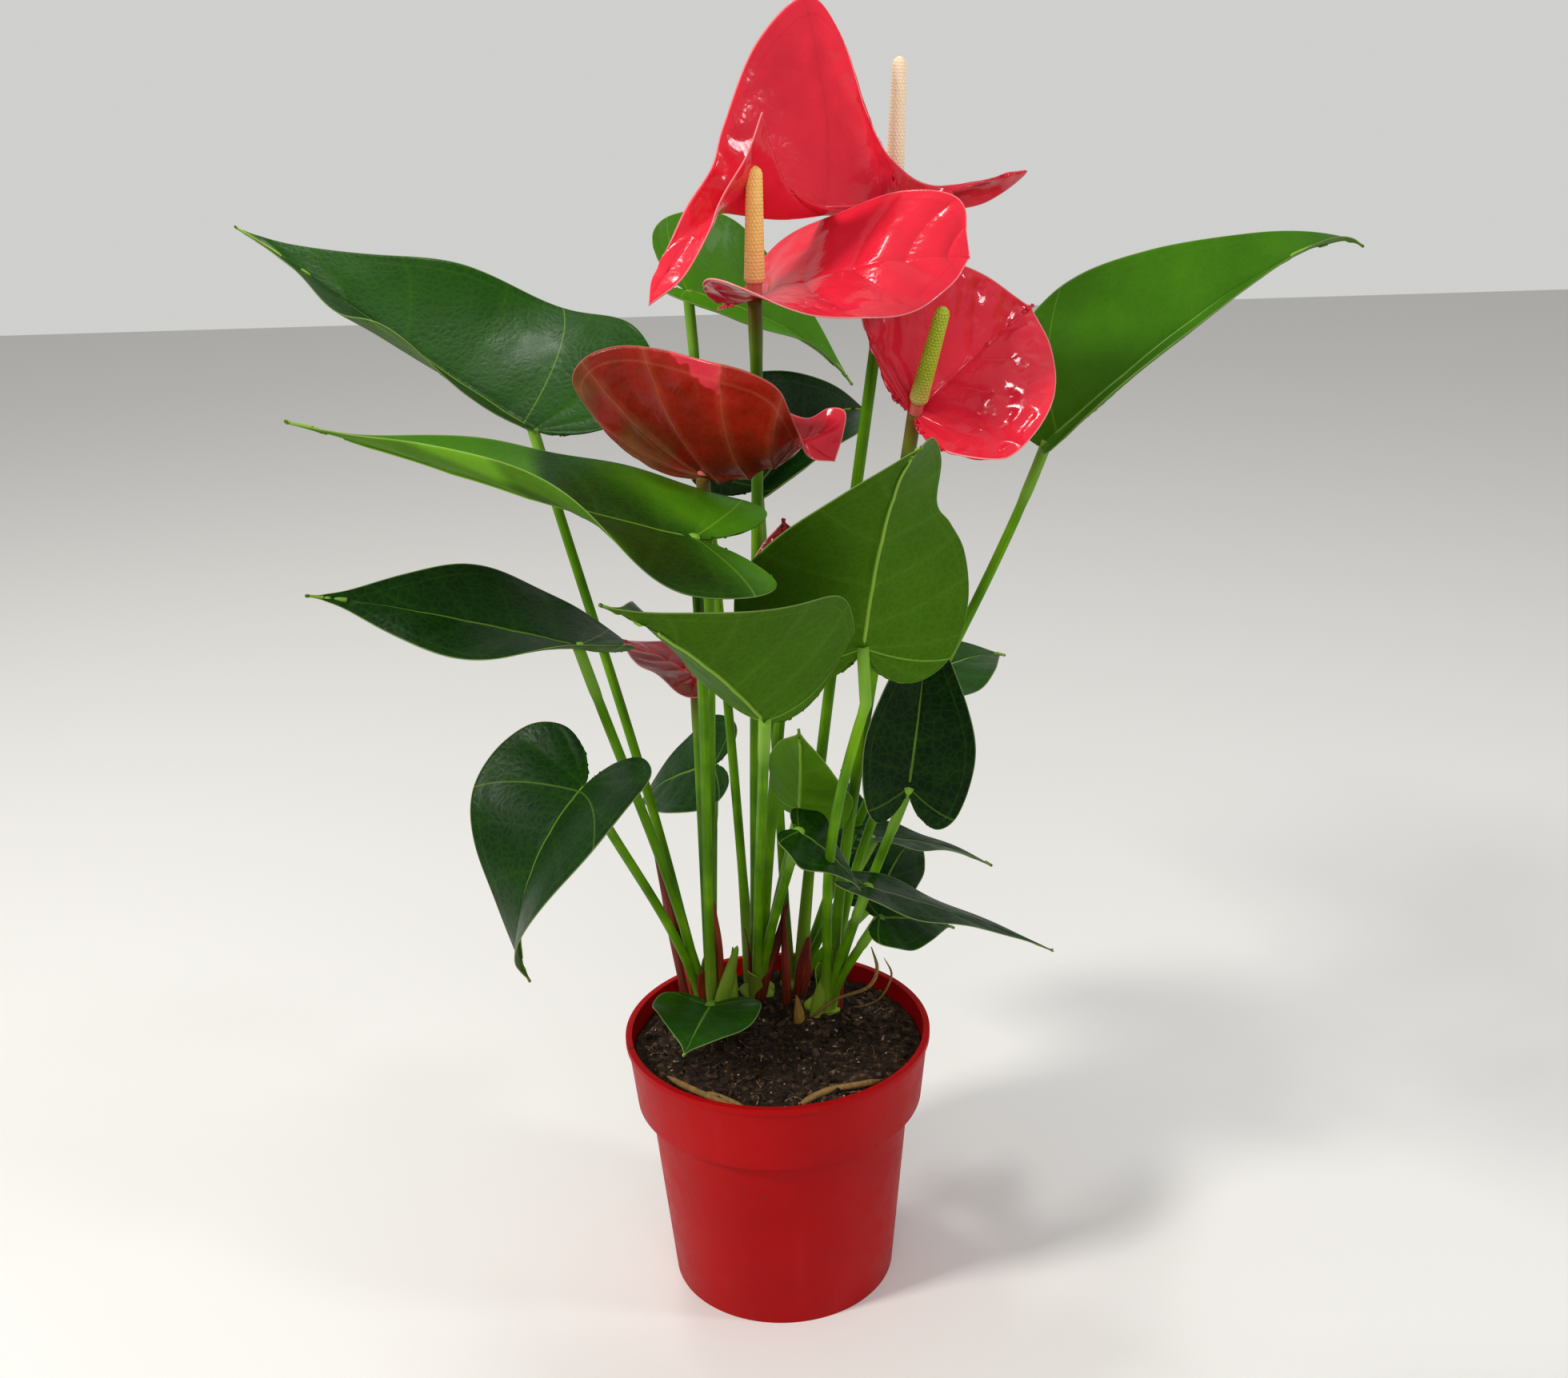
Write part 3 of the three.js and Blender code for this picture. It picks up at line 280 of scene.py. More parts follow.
# Scale leaves that stand alone: name, middle line, width and tone.
BRACTS = [
    ("bract_left", [(-36, 29, 98), (-40, 27, 131), (-43, 28, 153), (-47, 31, 172)], 6, 0.92),
    ("bract_red", [(-22, 20, 101), (-22.5, 19, 131), (-24, 19, 147), (-25, 20, 161)], 3, 0.75),
    ("bract_fresh", [(-24, 18, 98), (-22, 17, 108), (-19, 16, 120), (-15, 15, 135)], 7, 0.0),
    ("bract_dark", [(-8, 29, 96), (-5, 28, 110), (0, 28, 125), (6, 30, 147)], 5, 0.95),
    ("bract_middle", [(9, 34, 98), (11, 33, 108), (12, 33, 117), (14, 34, 128)], 7, 0.9),
    ("bract_right", [(15, 16, 98), (17, 15, 108), (20, 14, 119), (23, 14, 133)], 6, 0.05),
]
# Surface roots: radius, then the points along them. The last two rise clear of the mix.
ROOTS = [
    (1.2, [(-43, -22, 99), (-37, -31, 101), (-30, -38, 101.6), (-22, -44, 101.2), (-14, -48, 98.6)]),
    (0.9, [(-31, -36, 100), (-24, -40, 101.6), (-17, -45, 101.2), (-10, -49, 98.8)]),
    (1.3, [(6, -46, 98.6), (12, -43, 101), (20, -39, 101.8), (30, -36, 101.4), (40, -29, 98.6)]),
    (0.7, [(13, 18, 99), (16, 15, 103), (24, 12, 111), (36, 6, 119), (40, 6, 127), (38, 8, 136)]),
    (0.4, [(30, 24, 100), (36, 20, 103), (42, 14, 110), (46, 10, 122), (43, 8, 131)]),
]


# ---------------------------------------------------------------- mesh making
def select_only(*pieces):
    """Selects these pieces and no other, and makes the first of them active."""
    bpy.ops.object.select_all(action="DESELECT")
    for piece in pieces:
        piece.select_set(True)
    if pieces:
        bpy.context.view_layer.objects.active = pieces[0]


def linear(hex_colour):
    """An sRGB hex colour as the linear values that shaders and lights take."""
    parts = [int(hex_colour[i : i + 2], 16) / 255 for i in (1, 3, 5)]
    return (*(p / 12.92 if p <= 0.04045 else ((p + 0.055) / 1.055) ** 2.4 for p in parts), 1)


def active(name):
    """The piece that the last operator made, under its name."""
    made = bpy.context.object
    made.name = name
    made.data.name = name
    return made


def merge_doubles(piece, distance=1e-6):
    """Closes seams and poles, and drops faces that have shrunk to nothing."""
    mesh = bmesh.new()
    mesh.from_mesh(piece.data)
    bmesh.ops.remove_doubles(mesh, verts=mesh.verts, dist=distance)
    bmesh.ops.dissolve_degenerate(mesh, edges=mesh.edges, dist=distance)
    mesh.to_mesh(piece.data)
    mesh.free()


def formed_grid(name, rows, columns, place, **per_point):
    """A grid primitive, each point carried to place(u, v). u runs along the rows, v across them.
    per_point holds more functions of (u, v), each kept as a named value on the points."""
    select_only()
    bpy.ops.mesh.primitive_grid_add(x_subdivisions=rows, y_subdivisions=columns, size=1)
    piece = active(name)
    count = len(piece.data.vertices)
    flat = np.empty(count * 3)
    piece.data.vertices.foreach_get("co", flat)
    u, v = flat[0::3] + 0.5, flat[1::3] + 0.5
    for label, value in per_point.items():
        kept = piece.data.attributes.new(label, "FLOAT", "POINT")
        kept.data.foreach_set("value", np.broadcast_to(value(u, v), count).astype(np.float32))
    points = place(u, v) * MM
    piece.data.vertices.foreach_set("co", points.ravel())
    merge_doubles(piece)
    return piece


def value_of(piece, label):
    """The values kept on a piece's points under label."""
    values = np.empty(len(piece.data.vertices), np.float32)
    piece.data.attributes[label].data.foreach_get("value", values)
    return values


def push_out(piece, label):
    """Moves each point along its normal by the millimetres kept under label."""
    count = len(piece.data.vertices)
    points, normals = np.empty(count * 3), np.empty(count * 3, np.float32)
    piece.data.vertices.foreach_get("co", points)
    piece.data.vertex_normals.foreach_get("vector", normals)
    moved = points.reshape(-1, 3) + normals.reshape(-1, 3) * value_of(piece, label)[:, None] * MM
    piece.data.vertices.foreach_set("co", moved.ravel())
    piece.data.update()


def weight_from(piece, label):
    """A vertex group whose weights are the values kept under label."""
    group = piece.vertex_groups.new(name=label)
    for index, value in enumerate(value_of(piece, label)):
        group.add([index], float(min(1, max(0, value))), "REPLACE")


def smooth(piece):
    """Shades a piece smooth all over."""
    piece.data.polygons.foreach_set("use_smooth", [True] * len(piece.data.polygons))


def apply_all(piece):
    """Applies a piece's modifiers, in their order."""
    select_only(piece)
    for name in [m.name for m in piece.modifiers]:
        bpy.ops.object.modifier_apply(modifier=name)


def thin_skin(piece):
    """Gives a scale leaf its thickness, half to either side, and smooths it."""
    shell = piece.modifiers.new("shell", "SOLIDIFY")
    shell.thickness = SCALE_LEAF * MM
    shell.offset = 0
    apply_all(piece)
    smooth(piece)
    return piece


def joined(name, pieces):
    """Several pieces made one, under a name."""
    select_only(*pieces)
    bpy.ops.object.join()
    return active(name)


def hand_over(piece, material, slot, *nodes):
    """A material, a place on the part's one body, and the nodes it stands for. slot: not used."""
    if material:
        piece.data.materials.clear()
        piece.data.materials.append(material)
    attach(piece, "root")
    if nodes:
        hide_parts(*nodes)


# ---------------------------------------------------------------- curves
def spline(points, at, open_ends=False):
    """A Catmull-Rom curve through the points, at shares of it. open_ends carries it on past its ends."""
    points = np.asarray(points, float)
    last = len(points) - 1
    first = 2 * points[0] - points[1] if open_ends else points[0]
    final = 2 * points[last] - points[last - 1] if open_ends else points[last]
    padded = np.vstack([first, points, final])
    where = np.clip(at, 0, 1) * last
    index = np.minimum(where.astype(int), last - 1)
    t = (where - index)[:, None]
    a, b, c, d = (padded[index + k] for k in range(4))
    start, end = 0.5 * (c - a), 0.5 * (d - b)
    return (2 * t**3 - 3 * t**2 + 1) * b + (t**3 - 2 * t**2 + t) * start + (
        -2 * t**3 + 3 * t**2
    ) * c + (t**3 - t**2) * end


def unit(rows):
    """Each row as a vector of length 1."""
    rows = np.asarray(rows, float)
    return rows / np.maximum(1e-9, np.linalg.norm(rows, axis=-1, keepdims=True))


def tube_frames(points):
    """Two directions across a curve at each of its points, carried along it without twist."""
    ways = unit(np.gradient(points, axis=0))
    side = unit(np.cross(ways[0], (0.3, 1, 0.1)))
    sides = []
    for way in ways:
        side = unit(side - way * np.dot(side, way))
        sides.append(side)
    sides = np.array(sides)
    return sides, np.cross(ways, sides)


def tube(name, points, radii, sides, swell=None, **per_point):
    """A closed round bar along the points. swell(u, v) adds to its radius, in millimetres."""
    before, after = 2 * points[:1] - points[1:2], 2 * points[-1:] - points[-2:-1]
    side, across = tube_frames(np.vstack([before, points, after]))
    points = np.vstack([points[:1], points, points[-1:]])
    radii = np.concatenate([[0], radii, [0]])
    steps = len(points) - 1

    def place(u, v):
        step = np.rint(u * steps).astype(int)
        turn = -v * math.tau
        reach = radii[step]
        if swell:
            reach = reach + swell(u, v) * (reach > 0)
        round_it = np.cos(turn)[:, None] * side[step] + np.sin(turn)[:, None] * across[step]
        return points[step] + reach[:, None] * round_it

    return formed_grid(name, steps, sides, place, **per_point)


# ---------------------------------------------------------------- blades
def bend(spec, x):
    """How far a blade has turned down at x along its midrib, in radians."""
    share = x / spec["length"]
    ahead = math.radians(spec["droop"]) * share + math.radians(spec["curl"]) * share**3
    return np.where(share < 0, math.radians(spec["lobes"]) * -share / 0.25, ahead)


def midrib(spec, x):
    """How far ahead and up the midrib has come at x along it, summed in steps."""
    steps = 12
    step = x / steps
    ahead, up = np.zeros_like(x), np.zeros_like(x)
    for i in range(steps):
        angle = bend(spec, (i + 0.5) * step)
        ahead += np.cos(angle) * step
        up -= np.sin(angle) * step
    return ahead, up


def blade_point(spec, x, y, side):
    """The place of a blade's flat point (x along the midrib, y out from it) on its left or right half."""
    half = spec["width"] / 2
    fold = np.radians(np.where(side > 0, *spec["fold"]))
    share = np.maximum(0, x / spec["length"])
    rate = np.radians(np.where(side > 0, *spec["cup"]) + spec["furl"] * share**2) / half
    rate = np.where(np.abs(rate) < 1e-6, 1e-6, rate)
    end = fold + rate * y
    out, rise = (np.sin(end) - np.sin(fold)) / rate, (np.cos(fold) - np.cos(end)) / rate
    height, count, phase = spec["wave"]
    turns = count * x / spec["length"] + phase + np.where(side > 0, 0, 0.35)
    lift = rise + height * (y / half) ** 2 * np.sin(math.tau * turns)
    turn = math.radians(spec["twist"]) * x / spec["length"]
    across = side * out
    y1 = across * np.cos(turn) - lift * np.sin(turn)
    z1 = across * np.sin(turn) + lift * np.cos(turn)
    ahead, up = midrib(spec, x)
    angle = bend(spec, x)
    local = ahead + np.sin(angle) * z1, y1, up + np.cos(angle) * z1
    heading, pitch, roll = (math.radians(spec[k]) for k in ("heading", "pitch", "roll"))
    level = np.array([-math.sin(heading), math.cos(heading), 0])
    forward = np.cross(level, (0, 0, 1)) * math.cos(pitch) + (0, 0, math.sin(pitch))
    left = level * math.cos(roll) + np.cross(forward, level) * math.sin(roll)
    axes = forward, left, np.cross(forward, left)
    return np.array(spec["joint"], float) + sum(l[:, None] * axis for l, axis in zip(local, axes))


def ray_root(share):
    """Where on the midrib the side vein starts that runs to this share of the way round the outline."""
    return MIDRIB_REACH * np.maximum(0, (share - 0.42) / 0.58) ** 1.2


def blade_surface(spec, left, right):
    """A blade from its two half outlines. Side veins leave the midrib forwards and bow to the margin."""

    def place(share, out, side):
        end = np.where(side[:, None] > 0, spline(left, share), spline(right, share))
        tip_x, tip_y = end[:, 0] * spec["length"], end[:, 1] * spec["width"] / 2
        point = share * (len(left) - 1)
        in_thread = np.maximum(0, point - THREAD_START)
        root = (ray_root(np.minimum(1, point / THREAD_START)) + 0.08 * in_thread) * spec["length"]
        mid_x = root + np.where(tip_x > root, 0.3, 0.85) * (tip_x - root)
        a, b, c = (1 - out) ** 2, 2 * out * (1 - out), out**2
        return blade_point(spec, a * root + b * mid_x + c * tip_x, b * 0.6 * tip_y + c * tip_y, side)

    return place


def sheet_surface(sheet):
    """A blade from its midrib and two margins. It runs smoothly across the midrib."""

    def place(share, out, side):
        at = ray_root(share)
        root = spline(sheet["midrib"], at, True)
        along = spline(sheet["midrib"], at + 0.02, True) - spline(sheet["midrib"], at - 0.02, True)
        left, right = spline(sheet["left"], share, True) - root, spline(sheet["right"], share, True) - root
        across = np.where(side[:, None] > 0, left, right)
        reach = np.linalg.norm(across, axis=1)
        sag = np.where(side > 0, *sheet["belly"]) * np.minimum(1, reach / 30) * (1 - share**8) * side
        bellied = root + 0.45 * across + sag[:, None] * unit(np.cross(along, across))
        level = root + 0.42 * (reach * side)[:, None] * unit(unit(left) - unit(right))
        flow = sheet["flow"] * np.clip((share - 0.4) / 0.15, 0, 1) * np.clip((1 - share) * 8, 0, 1)
        middle = bellied * (1 - flow)[:, None] + level * flow[:, None]
        a, b, c = ((1 - out) ** 2)[:, None], (2 * out * (1 - out))[:, None], (out**2)[:, None]
        return a * root + b * middle + c * (root + across)

    return place


def blade(name, surface, faces, tone, grid, veins, puff, blister, thick, rib, basal=LOW_BASAL_VEIN):
    """A blade with its veins and its upper and under faces. veins: how many in each half. In
    millimetres, puff: how far it stands up between them, blister: how far it blisters towards the
    margin, thick: its thickness, rib: how much thicker the midrib is underneath."""

    def split(v):
        """How far out towards the margin, from 0 to 1, and on which side."""
        return np.abs(2 * v - 1), np.where(v >= 0.5, 1.0, -1.0)

    def place(u, v):
        out, side = split(v)
        return surface(NOTCH + (1 - NOTCH) * u, out, side)

    def span(u, v):
        """Millimetres of blade per whole share, at each point."""
        ahead = place(np.minimum(1, u + 0.005), v)
        behind = place(np.maximum(0, u - 0.005), v)
        return np.linalg.norm(ahead - behind, axis=1) / 0.01

    def reach(u, v):
        """Millimetres from midrib to margin, at each point."""
        edge = place(u, np.where(v >= 0.5, 1.0, 0.0))
        return np.linalg.norm(edge - place(u, np.full_like(v, 0.5)), axis=1)

    def lumps(u, v, size, seed):
        """Smooth noise over the blade, about size millimetres from lump to lump."""
        points = place(u, v) / size + (0, 0, seed)
        return np.array([noise.noise(Vector(point)) for point in points])

    def past_fan(u):
        """0 near the joint, where the veins fan out, and 1 along the midrib."""
        return np.clip((u - MIDRIB_START + 0.1) * 12, 0, 1)

    def relief(u, v):
        """How far the blade stands out: pillows between the veins, blisters, and a groove on the midrib."""
        out, _ = split(v)
        room, edge = span(u, v) / veins, reach(u, v)
        pillow = np.abs(np.sin(math.pi * (u * veins + 0.12 * lumps(u, v, 14, 3)))) ** 0.8
        fade = np.clip(room / 7, 0, 1) * (1 - out**4)
        fade *= np.clip((1 - u) * 8, 0, 1) * np.clip(0.3 + u * 3, 0, 1)
        groove = 0.3 * np.exp(-((edge * out / 1.2) ** 2)) * past_fan(u)
        small = lumps(u, v, 5.5, 11) * np.clip(out * 1.6 - 0.3, 0, 1) * np.clip((1 - out) * 9, 0, 1)
        bumpy = blister * small * np.clip((1 - u) * 10, 0, 1)
        raised = puff * (pillow * (0.8 + 0.5 * lumps(u, v, 22, 5)) - 0.35) * fade
        return raised + bumpy - 0.7 * groove * np.clip((1 - u) * 3.5, 0, 1) + thick / 2

    def body(u, v):
        """How thick the blade is, as a share of the thickest: its veins, and the margin that thins out."""
        out, _ = split(v)
        room = span(u, v) / veins
        main = rib * np.exp(-((reach(u, v) * out / 0.8) ** 2)) * np.clip((1 - u) * 2.2, 0, 1)
        main *= past_fan(u)
        to_basal = np.abs(u - basal[0] - basal[1] * out) * span(u, v)
        low_rib = 0.45 * rib * np.exp(-((to_basal / 0.7) ** 2)) * np.clip((0.85 - out) * 2, 0, 1)
        to_vein = np.abs(u * veins - np.rint(u * veins)) * room
        side_rib = 0.2 * rib * np.exp(-((to_vein / 0.55) ** 2)) * (1 - out) * np.clip(room / 3, 0, 1)
        edge = 1 - 0.45 * np.clip((out - 0.93) / 0.07, 0, 1)
        return (thick * edge + np.maximum(np.maximum(main, low_rib), side_rib)) / (thick + rib)

    piece = formed_grid(
        name, *grid, place, relief=relief, body=body,
        strip=lambda u, v: u * veins,
        pitch=lambda u, v: span(u, v) / veins,
        from_rib=lambda u, v: reach(u, v) * split(v)[0] + 9 * np.clip(0.36 - u, 0, 0.1) * 10,
        from_basal=lambda u, v: (u - basal[0] - basal[1] * split(v)[0]) * span(u, v),
        from_edge=lambda u, v: reach(u, v) * (1 - split(v)[0]),
        tone=lambda u, v: tone(place(u, v)) if callable(tone) else np.full_like(u, tone),
    )
    push_out(piece, "relief")
    weight_from(piece, "body")
    for face in faces:
        piece.data.materials.append(face)
    shell = piece.modifiers.new("shell", "SOLIDIFY")
    shell.thickness = (thick + rib) * MM
    shell.offset = -1
    shell.vertex_group = "body"
    shell.thickness_vertex_group = 0
    shell.material_offset = 1
    shell.material_offset_rim = 1
    apply_all(piece)
    piece.vertex_groups.clear()
    smooth(piece)
    return piece


# ---------------------------------------------------------------- stalks and crowns
def stalk_points(spec, steps):
    """The line of a stalk, from inside its crown to the joint of its leaf or bloom."""
    crown = CROWNS[spec["crown"]]
    at = np.array([*crown["at"], SOIL_TOP], float)
    joint = np.array(spec["joint"], float)
    out = unit((joint - at) * (1, 1, 0))
    base = at + out * (crown["radius"] - SHEATH_RADIUS - 0.6)
    way = unit(spec.get("arrive", joint - at))
    end = joint - way * (KNEE_LENGTH - 4 if "elbow" in spec else STRAIGHT_END)
    lean = unit(spec.get("elbow", way))
    reach = np.linalg.norm(end - base)
    keep = spec.get("upright", 0.35)
    start = unit((1 - keep) * unit(end - base) + keep * np.array((0, 0, 1)))
    handles = base, base + start * reach * 0.35, end - lean * reach * 0.35, end
    t = np.linspace(0, 1, steps)[:, None]
    a, b, c, d = handles
    curve = (1 - t) ** 3 * a + 3 * t * (1 - t) ** 2 * b + 3 * t**2 * (1 - t) * c + t**3 * d
    last = np.linspace(0.2, 1, 6)[:, None] if "elbow" in spec else np.array([[0.35], [0.7], [1]])
    return np.vstack([a - (0, 0, STALK_DEPTH), curve, end + (joint + way * 0.2 - end) * last])


def run_along(points):
    """How far each point lies along the line, in millimetres."""
    return np.concatenate([[0], np.cumsum(np.linalg.norm(np.diff(points, axis=0), axis=1))])


def stalk(spec, radius, blush):
    """A stalk with its thickened foot and knee. blush: how red it is where it meets its spathe."""
    points = stalk_points(spec, 46)
    run = run_along(points)
    total = run[-1]
    share = run / total
    sheath = (SHEATH_RADIUS - radius) * np.maximum(0, 1 - share / SHEATH_SHARE)
    from_top = total - run
    knee = 0.14 * radius / (1 + np.exp((from_top - KNEE_LENGTH) / 1.2))
    pinch = -0.1 * radius * np.exp(-(((from_top - KNEE_LENGTH) / 1.6) ** 2))
    radii = radius * (1 - 0.06 * share) + sheath + knee + pinch
    steps = len(points) + 1
    padded = np.concatenate([[0], share, [1]])
    tops = np.concatenate([[total], from_top, [0]])

    def channel(u, v):
        """The groove that runs up a petiole, and faint ridges round it."""
        low = np.exp(-(((v - 0.25) / 0.07) ** 2)) * -0.14 * radius
        return low + 0.02 * radius * np.cos(v * math.tau * 9)

    return tube(
        spec["name"], points, radii, STALK_SIDES, channel,
        along=lambda u, v: padded[np.rint(u * steps).astype(int)],
        pulvinus=lambda u, v: 1 / (1 + np.exp((tops[np.rint(u * steps).astype(int)] - KNEE_LENGTH) / 1.5)),
        blush=lambda u, v: blush / (1 + np.exp((tops[np.rint(u * steps).astype(int)] - 14) / 4)),
    )


def crown_head(crown):
    """The shoot base: a low lumpy cone, with the rings that old leaves leave."""
    height = np.array([-CROWN_DEPTH, -CROWN_DEPTH, -4, -1, 0, 1, 1.6, 2.4, 3.4, 4, 4])
    width = np.array([0, 0.9, 1, 1, 0.98, 1, 0.93, 0.84, 0.6, 0.3, 0]) * crown["radius"]
    points = np.array([[*crown["at"], SOIL_TOP + z] for z in height])

    def place(u, v):
        step = np.rint(u * (len(height) - 1)).astype(int)
        turn = -v * math.tau
        reach = width[step] * (1 - 0.05 * (1 + np.sin(5 * turn + crown["radius"])))
        return points[step] + np.stack([reach * np.cos(turn), reach * np.sin(turn), 0 * u], 1)

    none = dict.fromkeys(("along", "pulvinus", "blush"), lambda u, v: 0 * u)
    return formed_grid(crown["name"] + "_head", len(height) - 1, CROWN_SIDES, place, **none)


def wrapping_sheath(name, spec, height, turn, spread, tone):
    """A thin scale leaf that wraps the foot of a stalk and ends in a point."""
    points = stalk_points(spec, 60)
    run = run_along(points)
    side, across = tube_frames(points)

    def place(u, v):
        want = 4 + u * height
        middle, one, two = (
            np.stack([np.interp(want, run, rows[:, k]) for k in range(3)], 1)
            for rows in (points, side, across)
        )
        width = spread * np.sqrt(np.clip(1 - u**3, 0, 1))
        angle = turn + (v - 0.5) * width
        reach = SHEATH_RADIUS + SCALE_GAP - 0.5 * u + 1.6 * u**4
        return middle + reach[:, None] * (np.cos(angle)[:, None] * one + np.sin(angle)[:, None] * two)

    return thin_skin(formed_grid(name, *WRAP_GRID, place, tone=lambda u, v: np.full_like(u, tone)))


def bract(name, line, width, tone):
    """A scale leaf that stands on its own among the feet of the stalks: cupped, and pointed at its tip."""

    def place(u, v):
        half = 0.5 * width * np.sqrt(np.clip(1 - u**2.4, 0, 1)) * (0.75 + 0.25 * np.sin(math.pi * u))
        turn = (v - 0.5) * 2.6
        across = np.stack([np.sin(turn), 0.9 - 0.9 * np.cos(turn), 0 * u], 1)
        return spline(line, u, True) + half[:, None] * across

    return thin_skin(formed_grid(name, *BRACT_GRID, place, tone=lambda u, v: np.full_like(u, tone)))


def shoot(spec):
    """A rolled young leaf, a green sheath or the stub of an old stalk: a slim spear."""
    foot, tip = np.array([*spec["foot"], SOIL_TOP - 8.0]), np.array(spec["tip"], float)
    bend_at = np.array([*spec["foot"], (SOIL_TOP + tip[2]) / 2])
    t = np.linspace(0, 1, 40)[:, None]
    points = (1 - t) ** 2 * foot + 2 * t * (1 - t) * bend_at + t**2 * tip
    radii = spec["radius"] * np.minimum(1, 0.1 + 1.75 * (1 - t[:, 0]))

    def rolled(u, v):
        """The overlapping edge of the rolled sheath runs up it in a slow spiral."""
        seam_painted_shade = (v + 0.35 * u) % 1
        return spec["radius"] * (0.16 * np.exp(-((seam_painted_shade - 0.5) / 0.05) ** 2) - 0.05 * np.cos(seam_painted_shade * 50))

    return tube(
        "spear_" + spec["name"], points, radii, SPEAR_SIDES, rolled,
        tone=lambda u, v: np.full_like(u, spec["tone"]),
    )


# ---------------------------------------------------------------- spadix
def spadix(spec):
    """A spike set all round with florets, in the spiral rows that they really stand in."""
    size = spec["spadix"]
    way = unit(size["lean"])
    joint = np.array(spec["joint"], float)
    foot = joint + way * 0.5
    length = size["length"] + SPADIX_SEAT - 0.2
    steps = int(length / 0.3)
    t = np.linspace(0, 1, steps)
    points = foot + way * (t * length)[:, None]
    neck = SPADIX_SEAT / length
    taper = 1 - 0.28 * t
    foot_in = np.clip((t - neck * 0.75) / 0.04, 0, 1)
    round_end = np.sqrt(np.clip(1 - np.clip((t - 0.93) / 0.07, 0, 1) ** 2, 0.02, 1))
    radii = size["radius"] * (0.72 + (taper - 0.72) * foot_in) * round_end
    in_ring = round(math.tau * size["radius"] * 0.9 / FLORET_PITCH)

    def florets(u, v):
        """How high each point lies on its floret, from the seam to the top of the dome."""
        row = u * length / (FLORET_PITCH * 0.8)
        odd = 0.5 * (np.floor(row) % 2)
        one = np.abs(((v * in_ring + odd) % 1) - 0.5) * 2
        two = np.abs((row % 1) - 0.5) * 2
        return np.clip(1 - (one**2 + two**2) * 0.8, 0, 1) ** 0.5

    def studded(u, v):
        return (florets(u, v) * 0.26 - 0.15) * (u > neck) * (u < 0.985)

    return tube(
        spec["name"] + "_spike", points, radii, SPIKE_SIDES, studded,
        floret=lambda u, v: florets(u, v) * (u > neck) + 0.7 * (u <= neck),
        along=lambda u, v: np.clip((u - neck) / (1 - neck), 0, 1),
        tone=lambda u, v: np.full_like(u, size.get("tone", 0.0)),
        neck=lambda u, v: (u < neck * 0.95) * 1.0,
    )


# ---------------------------------------------------------------- pot
def drawn_through(radius, steps):
    """Extrudes the selected ring of edges, which lies on the floor, through each radius and height, and
    closes it with a face."""
    height = 0.0
    for new_radius, new_height in steps:
        bpy.ops.mesh.extrude_edges_move(
            TRANSFORM_OT_translate={"value": (0, 0, (new_height - height) * MM)}
        )
        scale = new_radius / radius
        bpy.ops.transform.resize(value=(scale, scale, 1), center_override=(0, 0, new_height * MM))
        radius, height = new_radius, new_height
    bpy.ops.mesh.edge_face_add()


def pot_body():
    """The pot, drawn up from its foot ring over the lip and down inside, then its foot's pad and its
    drain holes."""
    p = POT
    band_foot = p["height"] - p["band"]
    lip_foot = p["height"] - p["lip_height"]
    rim_inside = p["rim"] - p["lip"] - p["wall"]
    steps = [
        (p["foot"], 0), (p["body_top"], band_foot - p["slope"]), (p["band_foot"], band_foot),
        (p["rim"] - p["lip"], lip_foot - 0.6), (p["rim"], lip_foot), (p["rim"], p["height"]),
        (rim_inside, p["height"]), (p["band_foot"] - p["wall"], band_foot + p["wall"]),
        (p["body_top"] - p["wall"], band_foot - p["slope"] + p["wall"]),
        (p["foot"] - p["wall"], p["foot_rise"] + p["wall"]),
    ]
    select_only()
    ring = p["foot"] - p["foot_ring"]
    bpy.ops.mesh.primitive_circle_add(vertices=POT_SIDES, radius=ring * MM, fill_type="NOTHING")
    piece = active("pot_moulded")
    bpy.ops.object.mode_set(mode="EDIT")
    bpy.ops.mesh.select_all(action="SELECT")
    drawn_through(ring, steps)
    bpy.ops.mesh.select_all(action="DESELECT")
    bpy.ops.object.mode_set(mode="OBJECT")
    for edge in piece.data.edges:
        ends = [piece.data.vertices[i].co for i in edge.vertices]
        edge.select = all(abs(c.z) < 1e-6 and c.to_2d().length < (ring + 1) * MM for c in ends)
    bpy.ops.object.mode_set(mode="EDIT")
    bpy.ops.mesh.select_mode(type="EDGE")
    rise, pad = p["foot_rise"], p["foot_pad"]
    drawn_through(ring, [(ring - 1, rise), (pad + 1, rise), (pad, 0)])
    bpy.ops.mesh.select_all(action="SELECT")
    bpy.ops.mesh.normals_make_consistent(inside=False)
    bpy.ops.object.mode_set(mode="OBJECT")
    cutters = []
    for i in range(p["drains"]):
        turn = i * math.tau / p["drains"]
        at = [p["drain_circle"] * way * MM for way in (math.cos(turn), math.sin(turn), 0)]
        select_only()
        bpy.ops.mesh.primitive_cylinder_add(
            vertices=32, radius=p["drain_radius"] * MM, depth=20 * MM, location=at
        )
        cutters.append(active("drain_cutter"))
    cutter = joined("drain_cutters", cutters)
    cut = piece.modifiers.new("drains", "BOOLEAN")
    cut.object = cutter
    cut.operation = "DIFFERENCE"
    soften = piece.modifiers.new("moulded edges", "BEVEL")
    soften.width = 0.35 * MM
    soften.segments = 3
    soften.limit_method = "ANGLE"
    soften.angle_limit = math.radians(22)
    apply_all(piece)
    bpy.data.objects.remove(cutter)
    bpy.ops.object.shade_smooth_by_angle(angle=math.radians(35))
    return piece


